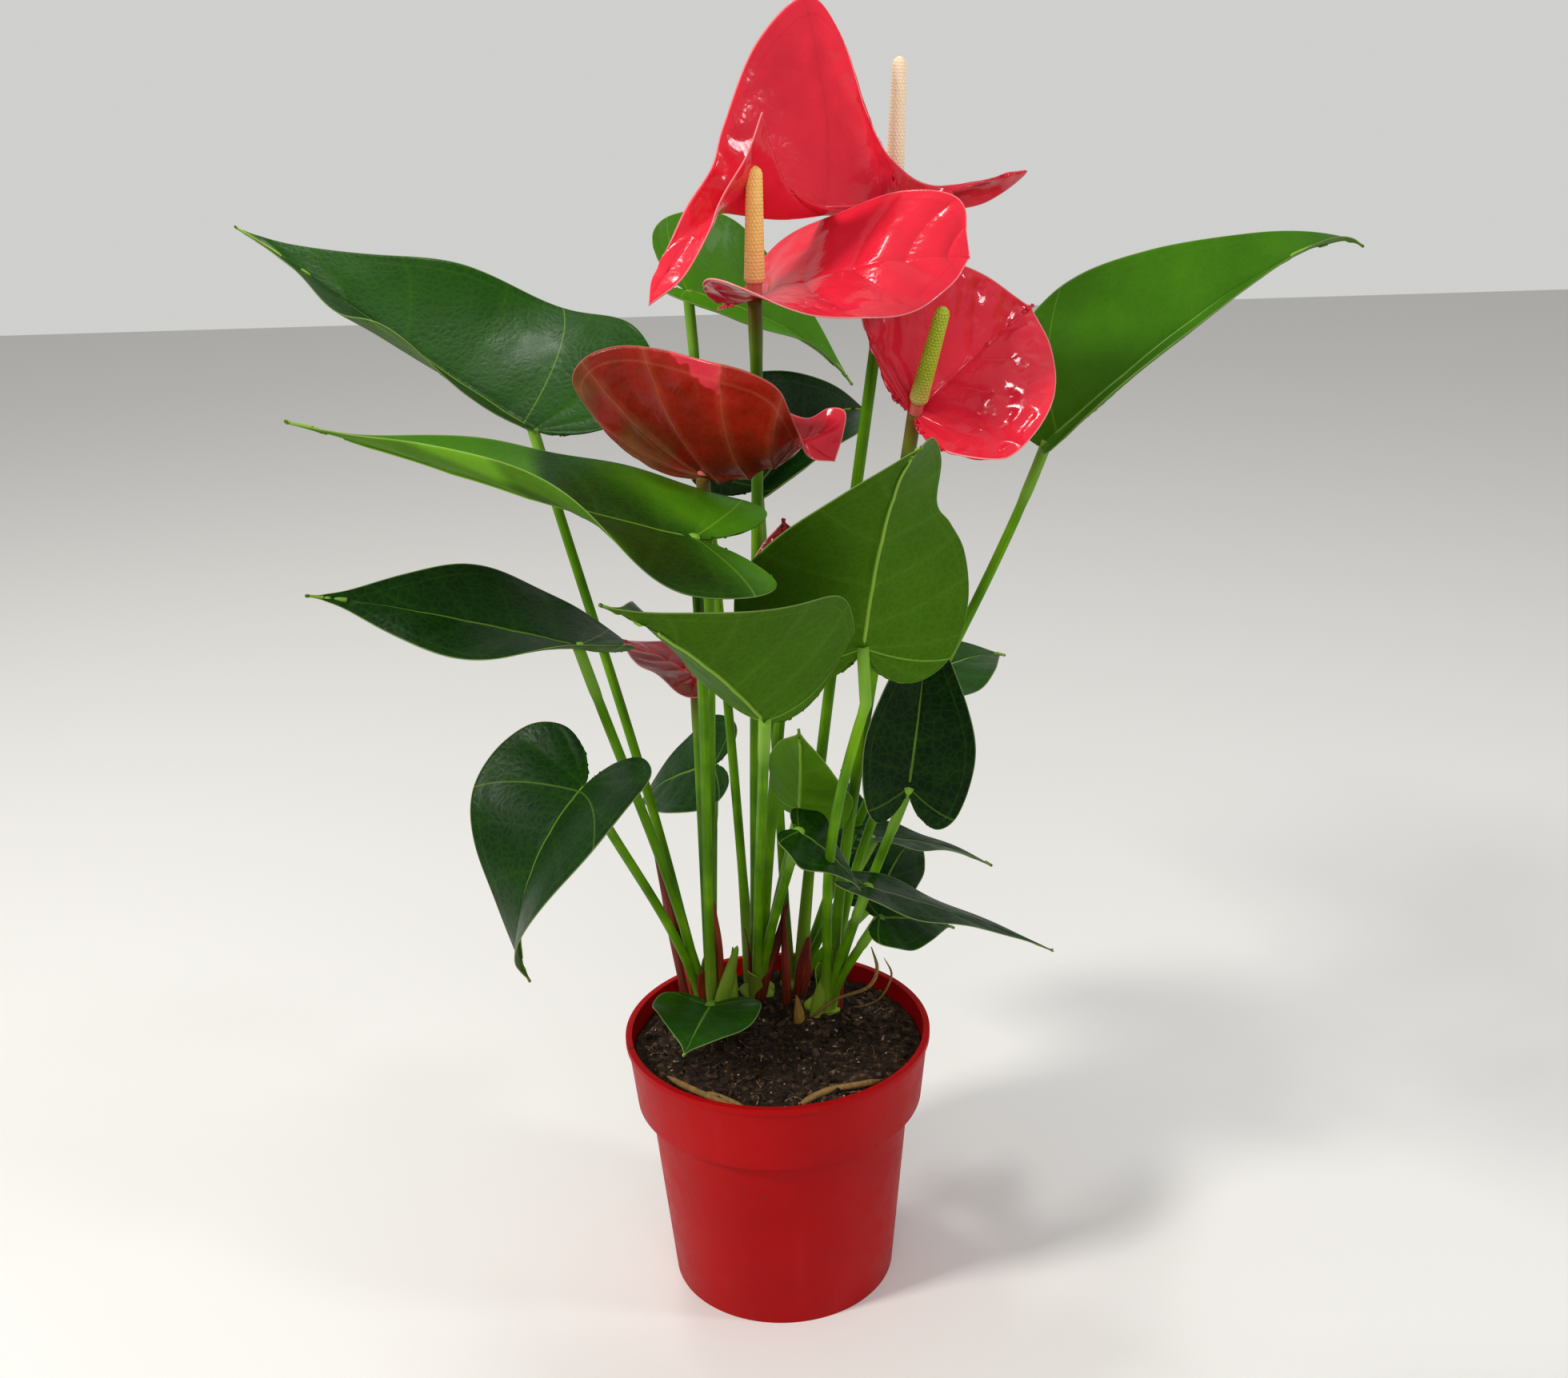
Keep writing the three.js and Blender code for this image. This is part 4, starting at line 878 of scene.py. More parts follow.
# ---------------------------------------------------------------- potting mix
def mix_height(x, y):
    """The long swells of the mix's top."""
    long = np.sin(0.21 * x + 1.3) * np.cos(0.24 * y)
    short = np.sin(0.43 * x - 0.37 * y + 2.1)
    return SOIL_TOP + 1.2 * (0.6 * long + 0.4 * short)


def coarse_crumbs(here):
    """The lumps of the mix's top that are 1 to 3 mm across, in millimetres of height."""
    return 0.9 * noise.noise(here * 0.35) + 0.55 * noise.noise(here * 0.9)


def mix_body():
    """The potting mix: a plug that fills the pot, with a crumbly top."""
    p = POT
    band_foot = p["height"] - p["band"]
    wall = p["wall"] + SOIL_CLEARANCE
    band_in = p["band_foot"] - wall
    edge = band_in + (p["rim"] - p["lip"] - wall - band_in) * (SOIL_TOP - band_foot) / p["band"]
    side = [
        (0, SOIL_FLOOR), (p["foot"] - wall, SOIL_FLOOR),
        (p["body_top"] - wall, band_foot - p["slope"] + wall),
        (band_in, band_foot + 2 * wall), (edge, SOIL_TOP - 3),
    ]
    top_rings = [(edge * (1 - i / MIX_RINGS), SOIL_TOP) for i in range(MIX_RINGS + 1)]
    profile = np.array(side + top_rings)
    steps = len(profile) - 1

    def place(u, v):
        step = np.rint(u * steps).astype(int)
        turn = -v * math.tau
        x, y = profile[step, 0] * np.cos(turn), profile[step, 0] * np.sin(turn)
        z = profile[step, 1].copy()
        top = step >= len(side)
        crumbs = np.zeros_like(z)
        for i in np.nonzero(top)[0]:
            here = Vector((x[i], y[i], 0))
            crumbs[i] = coarse_crumbs(here) + 0.3 * noise.noise(here * 1.9)
        z[top] = mix_height(x[top], y[top]) + crumbs[top]
        return np.stack([x, y, z], 1)

    piece = formed_grid("potting_mix", steps, MIX_SIDES, place)
    smooth(piece)
    return piece


def on_mix(x, y):
    """The height of the mix's top at one spot."""
    return float(mix_height(np.array(x), np.array(y))) + coarse_crumbs(Vector((x, y, 0)))


def many_copies(name, pattern, places, tones):
    """One shape, copied to each 4 by 4 place, as one piece."""
    source = np.array([v.co for v in pattern.data.vertices])
    faces = [list(f.vertices) for f in pattern.data.polygons]
    points, all_faces, kept = [], [], []
    for matrix, tone in zip(places, tones):
        offset = len(points) * len(source)
        turned = source @ np.array(matrix)[:3, :3].T + np.array(matrix)[:3, 3]
        points.append(turned)
        all_faces += [[i + offset for i in f] for f in faces]
        kept += [tone] * len(source)
    mesh = bpy.data.meshes.new(name)
    mesh.from_pydata(np.vstack(points).tolist(), [], all_faces)
    mesh.attributes.new("tone", "FLOAT", "POINT").data.foreach_set("value", kept)
    bpy.data.objects.remove(pattern)
    piece = bpy.data.objects.new(name, mesh)
    bpy.context.collection.objects.link(piece)
    return piece


def free_spot(limit):
    """A place on the mix that no crown or shoot stands on."""
    while True:
        reach, turn = limit * math.sqrt(rng.random()), rng.random() * math.tau
        x, y = reach * math.cos(turn), reach * math.sin(turn)
        crowns = all(math.hypot(x - c["at"][0], y - c["at"][1]) > c["radius"] + 1.5 for c in CROWNS)
        if crowns and all(math.hypot(x - s["foot"][0], y - s["foot"][1]) > 4 for s in SHOOTS):
            return x, y


def crumbs(count):
    """Loose crumbs of peat and bark, most of them tiny."""
    select_only()
    bpy.ops.mesh.primitive_ico_sphere_add(subdivisions=1, radius=1)
    pattern = active("crumb")
    for vertex in pattern.data.vertices:
        vertex.co *= 1 + 0.35 * noise.noise(vertex.co * 1.7 + Vector((3, 1, 2)))
    places, tones = [], []
    for _ in range(count):
        x, y = free_spot(53.5)
        size = (0.3 + 1.5 * rng.random() ** 4) * MM
        turn = Matrix.Rotation(rng.random() * 6.28, 4, Vector(rng.normal(size=3)).normalized())
        stretch = Matrix.Diagonal((size * (1 + rng.random()), size, size * (0.5 + 0.5 * rng.random()), 1))
        at = Matrix.Translation(Vector((x, y, on_mix(x, y) + 0.25)) * MM)
        places.append(at @ turn @ stretch)
        tones.append(float(rng.random() ** 2 if size < 0.75 * MM else 0.6 * rng.random()))
    return many_copies("mix_crumbs", pattern, places, tones)


def fibres(count):
    """Coir and peat fibres that lie on the mix."""
    made = []
    for i in range(count):
        x, y = free_spot(50)
        length, turn = 3 + 8 * rng.random() ** 2, rng.random() * 6.28
        t = np.linspace(0, 1, 8)
        curve = (rng.random() - 0.5) * 0.9
        xs = x + length * t * np.cos(turn + curve * t)
        ys = y + length * t * np.sin(turn + curve * t)
        keep = np.hypot(xs, ys) < 53
        if keep.sum() < 4:
            continue
        lift = 0.5 + 1.2 * rng.random() * np.sin(math.pi * t)
        zs = np.array([on_mix(a, b) for a, b in zip(xs, ys)]) + lift
        points = np.stack([xs, ys, zs], 1)[keep]
        tone = float(rng.random()) ** 1.5
        radii = np.full(len(points), 0.1 + 0.12 * rng.random())
        made.append(tube(
            f"fibre_{i}", points, radii, FIBRE_SIDES, tone=lambda u, v: np.full_like(u, tone),
        ))
    return joined("mix_fibres", made)


def root(radius, points):
    """A thick surface root, half sunk in the mix."""
    at = np.linspace(0, 1, 60)
    line = spline(points, at, True)
    swell = np.array([noise.noise(Vector((t * 9, radius, 0))) for t in at])
    radii = radius * (1 + 0.22 * swell) * np.minimum(1, 0.3 + 5 * np.minimum(at, 1 - at))
    return tube("root", line, radii, ROOT_SIDES, tone=lambda u, v: 0.5 + 0 * u)


# ---------------------------------------------------------------- materials
def add_node(tree, kind, inputs=None, **settings):
    """Adds a node with its settings. inputs: socket name or number, to a value or another node's socket."""
    made = tree.nodes.new("ShaderNode" + kind)
    for setting, value in settings.items():
        setattr(made, setting, value)
    for socket, value in (inputs or {}).items():
        if isinstance(value, bpy.types.NodeSocket):
            tree.links.new(value, made.inputs[socket])
        else:
            made.inputs[socket].default_value = value
    return made


def set_stops(ramp, stops):
    """Sets the colour stops of a ramp, position and sRGB hex, and gives its colour."""
    elements = ramp.color_ramp.elements
    while len(elements) < len(stops):
        elements.new(0.5)
    for element, (position, colour) in zip(elements, stops):
        element.position, element.color = position, linear(colour)
    return ramp.outputs[0]


def new_material(name, **fixed):
    """A material whose shader has the fixed values, and the function that adds nodes to it."""
    made = bpy.data.materials.new(name)
    made.use_nodes = True
    shader = made.node_tree.nodes["Principled BSDF"]
    for socket, value in fixed.items():
        shader.inputs[socket.replace("_", " ")].default_value = value
    return made, partial(add_node, made.node_tree)


def by_tone(node, tone, pattern, ends, shift, stops):
    """The colour that the stops have at a tone, which a pattern between its ends shifts down or up."""
    shifts = node("MapRange", {0: pattern, 1: ends[0], 2: ends[1], 3: -shift, 4: shift}).outputs[0]
    toned = node("Math", {0: tone, 1: shifts}, operation="ADD", use_clamp=True).outputs[0]
    return set_stops(node("ValToRGB", {0: toned}), stops)


def finished(made, colour, rough, height, strength, depth):
    """Links a material's colour, its roughness, and a height whose bumps stand out by depth, in metres."""
    tree = made.node_tree
    bump = add_node(tree, "Bump", {"Height": height, "Strength": strength, "Distance": depth})
    sources = {"Base Color": colour, "Roughness": rough, "Normal": bump.outputs[0]}
    for socket, source in sources.items():
        tree.links.new(source, tree.nodes["Principled BSDF"].inputs[socket])
    return made


def blade_material(name, stops, vein, rib, edge, net, gloss, cloud=0.05, **fixed):
    """One face of a leaf or spathe. stops: the ground colour by tone. vein, rib, edge, net: the colour
    and strength of the side veins, midrib, margin and fine net, and how much of the side veins' strength
    is left where the tone is 0. gloss: the lowest and highest roughness. cloud: how patchy it is."""
    made, node = new_material(name, **fixed)
    place = node("TexCoord").outputs["Object"]
    tone, from_basal, strip, pitch, from_rib, from_edge = (
        node("Attribute", attribute_name=label).outputs["Fac"]
        for label in ("tone", "from_basal", "strip", "pitch", "from_rib", "from_edge")
    )

    # Ground: the tone of the blade, cloudy at 15 to 20 mm.
    clouds = node("TexNoise", {"Vector": place, "Scale": 55, "Detail": 3}).outputs["Fac"]
    colour = by_tone(node, tone, clouds, (0.3, 0.7), cloud, stops)

    # Fine net of the smallest veins, cells about 3 mm.
    cells = node("TexVoronoi", {"Vector": place, "Scale": 330}, feature="DISTANCE_TO_EDGE").outputs[0]
    mesh = node("MapRange", {0: cells, 1: 0.02, 2: 0.16, 3: net[1], 4: 0}).outputs[0]

    # Side veins: how many millimetres to the nearest, a thin line there and a faint glow beside it.
    part = node("Math", {0: strip, 1: 0.5}, operation="PINGPONG").outputs[0]
    to_vein = node("Math", {0: part, 1: pitch}, operation="MULTIPLY").outputs[0]
    on_vein = node("MapRange", {0: to_vein, 1: 0.1, 2: 0.5, 3: vein[1], 4: 0}).outputs[0]
    glow = node("MapRange", {0: to_vein, 1: 0.4, 2: 2.8, 3: vein[1] * 0.4, 4: 0}).outputs[0]
    both = node("Math", {0: on_vein, 1: glow}, operation="MAXIMUM").outputs[0]
    shown = node("MapRange", {0: tone, 1: 0, 2: 0.4, 3: vein[2], 4: 1}).outputs[0]
    lined = node("Math", {0: both, 1: shown}, operation="MULTIPLY").outputs[0]

    # The vein that joins the side veins inside the margin, the midrib, and the pale margin itself.
    joining = node("Math", {0: from_edge, 1: JOINING_VEIN}, operation="SUBTRACT").outputs[0]
    to_joining = node("Math", {0: joining}, operation="ABSOLUTE").outputs[0]
    on_joining = node("MapRange", {0: to_joining, 1: 0.1, 2: 0.6, 3: vein[1] * 0.6, 4: 0}).outputs[0]
    dimmed = node("MapRange", {0: tone, 1: 0, 2: 0.3, 3: 0.5, 4: 1}).outputs[0]
    on_rib = node("MapRange", {0: from_rib, 1: 0.25, 2: 0.6, 3: rib[1], 4: 0}).outputs[0]
    to_basal = node("Math", {0: from_basal}, operation="ABSOLUTE").outputs[0]
    on_basal = node("MapRange", {0: to_basal, 1: 0.1, 2: 0.5, 3: rib[1] * 0.55, 4: 0}).outputs[0]
    widest = node("Math", {0: on_rib, 1: on_basal}, operation="MAXIMUM").outputs[0]
    main = node("Math", {0: widest, 1: dimmed}, operation="MULTIPLY").outputs[0]
    on_edge = node("MapRange", {0: from_edge, 1: 0.15, 2: 0.45, 3: edge[1], 4: 0}).outputs[0]
    layers = [(mesh, net[0]), (lined, vein[0]), (on_joining, vein[0]), (main, rib[0]), (on_edge, edge[0])]
    for mask, hue in layers:
        colour = node("Mix", {0: mask, 6: colour, 7: linear(hue)}, data_type="RGBA").outputs[2]

    # Cuticle: gloss that varies a little, and a fine grain of cells.
    smear = node("TexNoise", {"Vector": place, "Scale": 140, "Detail": 4}).outputs["Fac"]
    rough = node("MapRange", {0: smear, 1: 0.3, 2: 0.7, 3: gloss[0], 4: gloss[1]}).outputs[0]
    grain = node("TexNoise", {"Vector": place, "Scale": 900, "Detail": 2}).outputs["Fac"]
    low = node("Math", {0: cells, 1: 0.5}, operation="MINIMUM").outputs[0]
    height = node("Math", {0: grain, 1: 0.25, 2: low}, operation="MULTIPLY_ADD").outputs[0]
    return finished(made, colour, rough, height, 0.35, 0.0004)


# Living leaf, waxy cuticle grown smooth: a deep even green, thin yellow-green main veins, a pale margin.
leaf_upper = blade_material(
    "leaf cuticle, upper face, waxy",
    [(0, "#061C06"), (0.15, "#0F3206"), (0.35, "#1F4A08"), (0.6, "#3A6C0C"), (1, "#569A0A")],
    vein=("#4A8018", 0.14, 0.3), rib=("#84AE38", 0.6), edge=("#98B068", 0.5), net=("#5C9430", 0.04),
    gloss=(0.3, 0.42), IOR=1.4, Specular_IOR_Level=0.12, Coat_Weight=0.02, Coat_Roughness=0.1,
)
# The same leaf from below has less gloss: a warmer, brighter green, with raised pale veins.
leaf_under = blade_material(
    "leaf cuticle, under face, satin",
    [(0, "#23440A"), (0.35, "#345808"), (0.6, "#406A08"), (1, "#669C1C")],
    vein=("#6C9430", 0.14, 0.8), rib=("#98C048", 0.75), edge=("#A8BC74", 0.35), net=("#7C9C44", 0.06),
    gloss=(0.42, 0.54), IOR=1.35, Specular_IOR_Level=0.04,
)
# Spathe, a modified leaf with a lacquer-like cuticle: wet-looking red with crisp lights on its blisters.
# The darker red of its veins is painted shade in their grooves; its pale pink margin is a painted highlight
# along the rim.
spathe_upper = blade_material(
    "spathe cuticle, upper face, lacquer gloss",
    [(0, "#E8283E"), (0.3, "#B01022"), (0.6, "#7A1216"), (0.9, "#4A0C0C"), (0.98, "#D8283A")],
    vein=("#B80E24", 0.3, 1), rib=("#C8182E", 0.5), edge=("#F6A0A0", 0.6), net=("#D01830", 0.04),
    gloss=(0.14, 0.22), IOR=1.45, Specular_IOR_Level=0.25, Coat_Weight=0.25, Coat_Roughness=0.04,
)
# The outside of the spathe: pinker and a little less glossy. Here too the darker veins are painted shade in
# their grooves, and the pale margin is a painted highlight along the rim.
spathe_under = blade_material(
    "spathe cuticle, under face, satin",
    [(0, "#EA2A46"), (0.3, "#C42036"), (0.6, "#84181C"), (0.9, "#501010")],
    vein=("#BC1A34", 0.3, 1), rib=("#B02C34", 0.5), edge=("#F6B0AC", 0.6), net=("#D02038", 0.04),
    gloss=(0.18, 0.26), IOR=1.45, Specular_IOR_Level=0.25, Coat_Weight=0.2, Coat_Roughness=0.05,
)
# A spathe going over: the red browns and turns olive towards the base, and its veins stand out pale.
spathe_aged = blade_material(
    "spathe cuticle, ageing, satin",
    [
        (0, "#6E4420"), (0.2, "#603014"), (0.42, "#741A0E"), (0.7, "#8A1A0C"), (0.97, "#9C1C12"),
        (1, "#D03040"),
    ],
    vein=("#B87850", 0.22, 1), rib=("#843822", 0.5), edge=("#C88870", 0.4), net=("#A85838", 0.04),
    gloss=(0.24, 0.36), cloud=0.25, IOR=1.42, Specular_IOR_Level=0.15, Coat_Weight=0.1, Coat_Roughness=0.08,
)


def stalk_material():
    """Living stalk, smooth skin: bright green, yellower at the foot, paler at the knee under the blade,
    red-brown where a flower stalk meets its spathe, with fine streaks along it."""
    made, node = new_material("stalk skin, living, smooth", IOR=1.4, Specular_IOR_Level=0.12)
    place = node("TexCoord").outputs["Object"]
    labels = "along", "pulvinus", "blush"
    along, knee, blush = (node("Attribute", attribute_name=label).outputs["Fac"] for label in labels)
    around = node("SeparateXYZ", {0: node("UVMap", uv_map="UVMap").outputs[0]})
    streak_at = node("CombineXYZ", {0: along, 1: around.outputs[1]}).outputs[0]
    stretched = node("Mapping", {"Vector": streak_at, "Scale": (9, 26, 1)}).outputs[0]
    streaks = node("TexNoise", {"Vector": stretched, "Scale": 1, "Detail": 4}).outputs["Fac"]
    clouds = node("TexNoise", {"Vector": place, "Scale": 45, "Detail": 2}).outputs["Fac"]
    mixed = node("Math", {0: streaks, 1: 0.5, 2: clouds}, operation="MULTIPLY_ADD").outputs[0]
    spread = node("MapRange", {0: mixed, 1: 0.5, 2: 1.0}).outputs[0]
    colour = set_stops(node("ValToRGB", {0: spread}), [(0, "#3E6C08"), (0.5, "#56880A"), (1, "#72A412")])
    foot = node("MapRange", {0: along, 1: 0.0, 2: 0.2, 3: 0.75, 4: 0}).outputs[0]
    pale = node("Math", {0: knee, 1: 0.45}, operation="MULTIPLY").outputs[0]
    for mask, hue in [(foot, "#93A83E"), (pale, "#8DB84A"), (blush, "#5E1C14")]:
        colour = node("Mix", {0: mask, 6: colour, 7: linear(hue)}, data_type="RGBA").outputs[2]
    rough = node("MapRange", {0: streaks, 1: 0.3, 2: 0.7, 3: 0.34, 4: 0.48}).outputs[0]
    return finished(made, colour, rough, streaks, 0.3, 0.0005)


def sheath_material(name, stops, gloss):
    """Scale leaves and sheaths: thin skin with long streaks; tone 0 is fresh and 1 is dry."""
    made, node = new_material(name, IOR=1.42)
    tone = node("Attribute", attribute_name="tone").outputs["Fac"]
    uv = node("UVMap", uv_map="UVMap").outputs[0]
    stretched = node("Mapping", {"Vector": uv, "Scale": (3, 30, 1)}).outputs[0]
    streaks = node("TexNoise", {"Vector": stretched, "Scale": 1, "Detail": 5}).outputs["Fac"]
    colour = by_tone(node, tone, streaks, (0.25, 0.75), 0.22, stops)
    rough = node("MapRange", {0: streaks, 1: 0.3, 2: 0.7, 3: gloss[0], 4: gloss[1]}).outputs[0]
    return finished(made, colour, rough, streaks, 0.5, 0.0006)


def spike_material():
    """Spadix: hundreds of small waxy florets. tone 0 is cream, 0.6 orange-yellow and 1 green-yellow.
    Each floret has a pale dome and a darker seam round it; the seam's darkness is painted shade in the
    crevice."""
    made, node = new_material(
        "spadix florets, waxy", IOR=1.44, Subsurface_Weight=0.15, Subsurface_Scale=0.002
    )
    place = node("TexCoord").outputs["Object"]
    labels = "tone", "floret", "along", "neck"
    tone, floret, along, neck = (node("Attribute", attribute_name=label).outputs["Fac"] for label in labels)
    clouds = node("TexNoise", {"Vector": place, "Scale": 260, "Detail": 2}).outputs["Fac"]
    # The seam's colours are darker than the dome's: painted shade in the crevices between the florets.
    dome, seam_painted_shade = (
        by_tone(node, tone, clouds, (0.3, 0.7), 0.06, stops)
        for stops in (
            [(0, "#FFEACB"), (0.35, "#FCDA94"), (0.6, "#FFDA84"), (1, "#B4C428")],
            [(0, "#FCDCBA"), (0.35, "#F6C67C"), (0.6, "#F8BE5A"), (1, "#74881A")],
        )
    )
    raised = node("MapRange", {0: floret, 1: 0.1, 2: 0.75}).outputs[0]
    low = node("MapRange", {0: along, 1: 0.0, 2: 0.3, 3: 0.35, 4: 0}).outputs[0]
    colour = seam_painted_shade
    for mask, hue in [(raised, dome), (low, linear("#F0B090")), (neck, linear("#D2655A"))]:
        colour = node("Mix", {0: mask, 6: colour, 7: hue}, data_type="RGBA").outputs[2]
    rough = node("MapRange", {0: floret, 1: 0.0, 2: 1.0, 3: 0.62, 4: 0.42}).outputs[0]
    grain = node("TexNoise", {"Vector": place, "Scale": 2200, "Detail": 2}).outputs["Fac"]
    return finished(made, colour, rough, grain, 0.2, 0.0003)


def pot_material():
    """Injection-moulded polypropylene: satin red with a faint orange peel, handling scuffs that dull it,
    and crumbs and dried splashes of the mix, fewest at its foot."""
    made, node = new_material("polypropylene, red, injection moulded", IOR=1.49, Specular_IOR_Level=0.08)
    place = node("TexCoord").outputs["Object"]
    apart = node("SeparateXYZ", {0: place})
    clouds = node("TexNoise", {"Vector": place, "Scale": 22, "Detail": 4}).outputs["Fac"]
    spread = node("MapRange", {0: clouds, 1: 0.3, 2: 0.7}).outputs[0]
    colour = set_stops(node("ValToRGB", {0: spread}), [(0, "#9A0408"), (1, "#AA060B")])
    # Flow lines of the melt, long and faint, up the wall.
    drawn = node("Mapping", {"Vector": place, "Scale": (160, 160, 9)}).outputs[0]
    flow = node("TexNoise", {"Vector": drawn, "Scale": 1, "Detail": 3}).outputs["Fac"]
    faint = node("MapRange", {0: flow, 1: 0.55, 2: 0.75, 3: 0, 4: 0.14}).outputs[0]
    # Splashes and crumbs: sparse brown specks, 0.5 to 2 mm.
    specks = node("TexVoronoi", {"Vector": place, "Scale": 110}).outputs["Distance"]
    patch_at = node("TexNoise", {"Vector": place, "Scale": 30, "Detail": 2}).outputs["Fac"]
    where = node("MapRange", {0: patch_at, 1: 0.56, 2: 0.64}).outputs[0]
    small = node("MapRange", {0: specks, 1: 0.1, 2: 0.16, 3: 1, 4: 0}).outputs[0]
    height = node("MapRange", {0: apart.outputs[2], 1: 0.05, 2: 0.078, 3: 0.1, 4: 1}).outputs[0]
    both = node("Math", {0: where, 1: small}, operation="MULTIPLY").outputs[0]
    dirt = node("Math", {0: both, 1: height}, operation="MULTIPLY").outputs[0]
    for mask, hue in [(faint, "#B8262C"), (dirt, "#4A2A1C")]:
        colour = node("Mix", {0: mask, 6: colour, 7: linear(hue)}, data_type="RGBA").outputs[2]
    scuffs = node("TexNoise", {"Vector": place, "Scale": 90, "Detail": 6, "Roughness": 0.7}).outputs["Fac"]
    rough = node("MapRange", {0: scuffs, 1: 0.35, 2: 0.7, 3: 0.4, 4: 0.54}).outputs[0]
    dull = node("Math", {0: dirt, 1: 0.4, 2: rough}, operation="MULTIPLY_ADD").outputs[0]
    peel = node("TexNoise", {"Vector": place, "Scale": 650, "Detail": 1}).outputs["Fac"]
    relief = node("Math", {0: dirt, 1: 2.0, 2: peel}, operation="MULTIPLY_ADD").outputs[0]
    return finished(made, colour, dull, relief, 0.12, 0.0004)


def mix_material():
    """Peat and coir potting mix, damp: near-black crumbs with brown and tan flecks, no gloss."""
    made, node = new_material("peat and coir mix, damp", IOR=1.35)
    place = node("TexCoord").outputs["Object"]
    lumps = node("TexNoise", {"Vector": place, "Scale": 320, "Detail": 6, "Roughness": 0.65}).outputs["Fac"]
    stops = [(0.3, "#140D07"), (0.48, "#2A1C12"), (0.58, "#46321F"), (0.7, "#8E745A")]
    colour = set_stops(node("ValToRGB", {0: lumps}), stops)
    rough = node("MapRange", {0: lumps, 1: 0.3, 2: 0.7, 3: 0.75, 4: 0.98}).outputs[0]
    fine = node("TexNoise", {"Vector": place, "Scale": 900, "Detail": 5, "Roughness": 0.7}).outputs["Fac"]
    return finished(made, colour, rough, fine, 0.9, 0.0012)


def debris_material(name, stops, grain_scale):
    """Crumbs, fibres and roots on the mix: dry plant matter, coloured by tone, with a fine grain."""
    made, node = new_material(name, IOR=1.35)
    place = node("TexCoord").outputs["Object"]
    tone = node("Attribute", attribute_name="tone").outputs["Fac"]
    grain = node("TexNoise", {"Vector": place, "Scale": grain_scale, "Detail": 4}).outputs["Fac"]
    colour = by_tone(node, tone, grain, (0.3, 0.7), 0.15, stops)
    rough = node("MapRange", {0: grain, 1: 0.3, 2: 0.7, 3: 0.7, 4: 0.95}).outputs[0]
    return finished(made, colour, rough, grain, 0.6, 0.0005)


stalk_skin = stalk_material()
dry_sheath = sheath_material(
    "scale leaf, drying, papery",
    [(0, "#7CA024"), (0.35, "#8C8A34"), (0.55, "#96602A"), (0.75, "#9A2E16"), (1, "#48140C")],
    gloss=(0.5, 0.75),
)
spike_florets = spike_material()
pot_plastic = pot_material()
damp_mix = mix_material()
# Loose peat, dried on top: brown to nearly black, with a few pale bark chips, no gloss.
crumb_matter = debris_material(
    "peat crumb, dry",
    [(0, "#140D08"), (0.4, "#2C1D13"), (0.75, "#5C4532"), (1, "#BCAC98")], grain_scale=900,
)
# Coir, husk fibre bleached where it stands out of the mix.
fibre_matter = debris_material(
    "coir fibre, dry",
    [(0, "#1A100A"), (0.6, "#38261A"), (0.9, "#6A503A"), (1, "#A8947C")], grain_scale=1200,
)
# Roots on the surface have a pale corky skin.
root_skin = debris_material("root skin, corky", [(0, "#4A341C"), (0.5, "#86683A"), (1, "#B4945C")], 500)


# ---------------------------------------------------------------- the piece list
def sheath_slot(tone):
    """The record's slot of a scale leaf: fresh ones are green, dry ones brown."""
    return "sheath_green" if tone < 0.3 else "sheath_brown"


hand_over(pot_body(), pot_plastic, "pot", "pot")
hand_over(mix_body(), damp_mix, "soil", "soil")
hand_over(crumbs(CRUMBS), crumb_matter, "soil")
hand_over(fibres(FIBRES), fibre_matter, "soil")
hand_over(joined("surface_roots", [root(*bent) for bent in ROOTS]), root_skin, "soil")


def paler_tip(points):
    """The twisted leaf turns paler from its middle to its tip, and along its upper edge."""
    x, _, z = points.T
    at_tip = np.clip((-62 - 0.5 * (z - 338) - x) / 5, 0, 1)
    upper_edge = np.clip((z - 318 + 0.46 * x) / 4, 0, 1)
    return 0.2 + 0.5 * at_tip + 0.45 * upper_edge


for leaf in LEAVES:
    halves = HALVES.get(leaf["name"], (LEAF_OUTLINE, LEAF_OUTLINE))
    made = blade(
        leaf["name"].replace("leaf", "blade"), blade_surface(leaf, *halves), [leaf_upper, leaf_under],
        paler_tip if leaf["name"] == "leaf_twisted_left" else leaf["tone"],
        FINE_GRID if leaf["length"] > LARGE_BLADE else PLAIN_GRID,
        basal=CLEAR_BASAL_VEIN if leaf["name"] in CLEARLY_VEINED else LOW_BASAL_VEIN, **LEAF_BODY,
    )
    hand_over(made, None, "leaves", leaf["name"])


def ageing(points):
    """The left spathe: olive brown low on its left side, red at its top and right, bright at its tail."""
    x, _, z = points.T
    tail = np.clip((x - 9) / 9, 0, 0.6)
    return np.clip(0.05 + 0.6 * (x + 58) / 62 + 0.5 * (z - 350) / 30 + tail, 0, 1)


SPATHE_SLOTS = {"bloom_left": "spathe_brown", "bloom_shade": "spathe_dark", "bloom_low": "spathe_dark"}
SPIKE_SLOTS = {"bloom_right": "spadix_green"}
for bloom in BLOOMS:
    name = bloom["name"]
    halves = HALVES.get(name, (SPATHE_OUTLINE, SPATHE_OUTLINE))
    surface = sheet_surface(bloom["sheet"]) if "sheet" in bloom else blade_surface(bloom, *halves)
    outside = {"bloom_left": spathe_aged, "bloom_top": spathe_upper}.get(name, spathe_under)
    made = blade(
        name.replace("bloom", "spathe"), surface, [spathe_upper, outside],
        ageing if name == "bloom_left" else bloom["tone"], SPATHE_GRID,
        **SPATHE_BODY, **FOLDS.get(name, PLAIN_FOLDS),
    )
    hand_over(made, None, SPATHE_SLOTS.get(name, "spathes"), name + "_spathe")
    hand_over(spadix(bloom), spike_florets, SPIKE_SLOTS.get(name, "spadix_cream"), name + "_spadix")

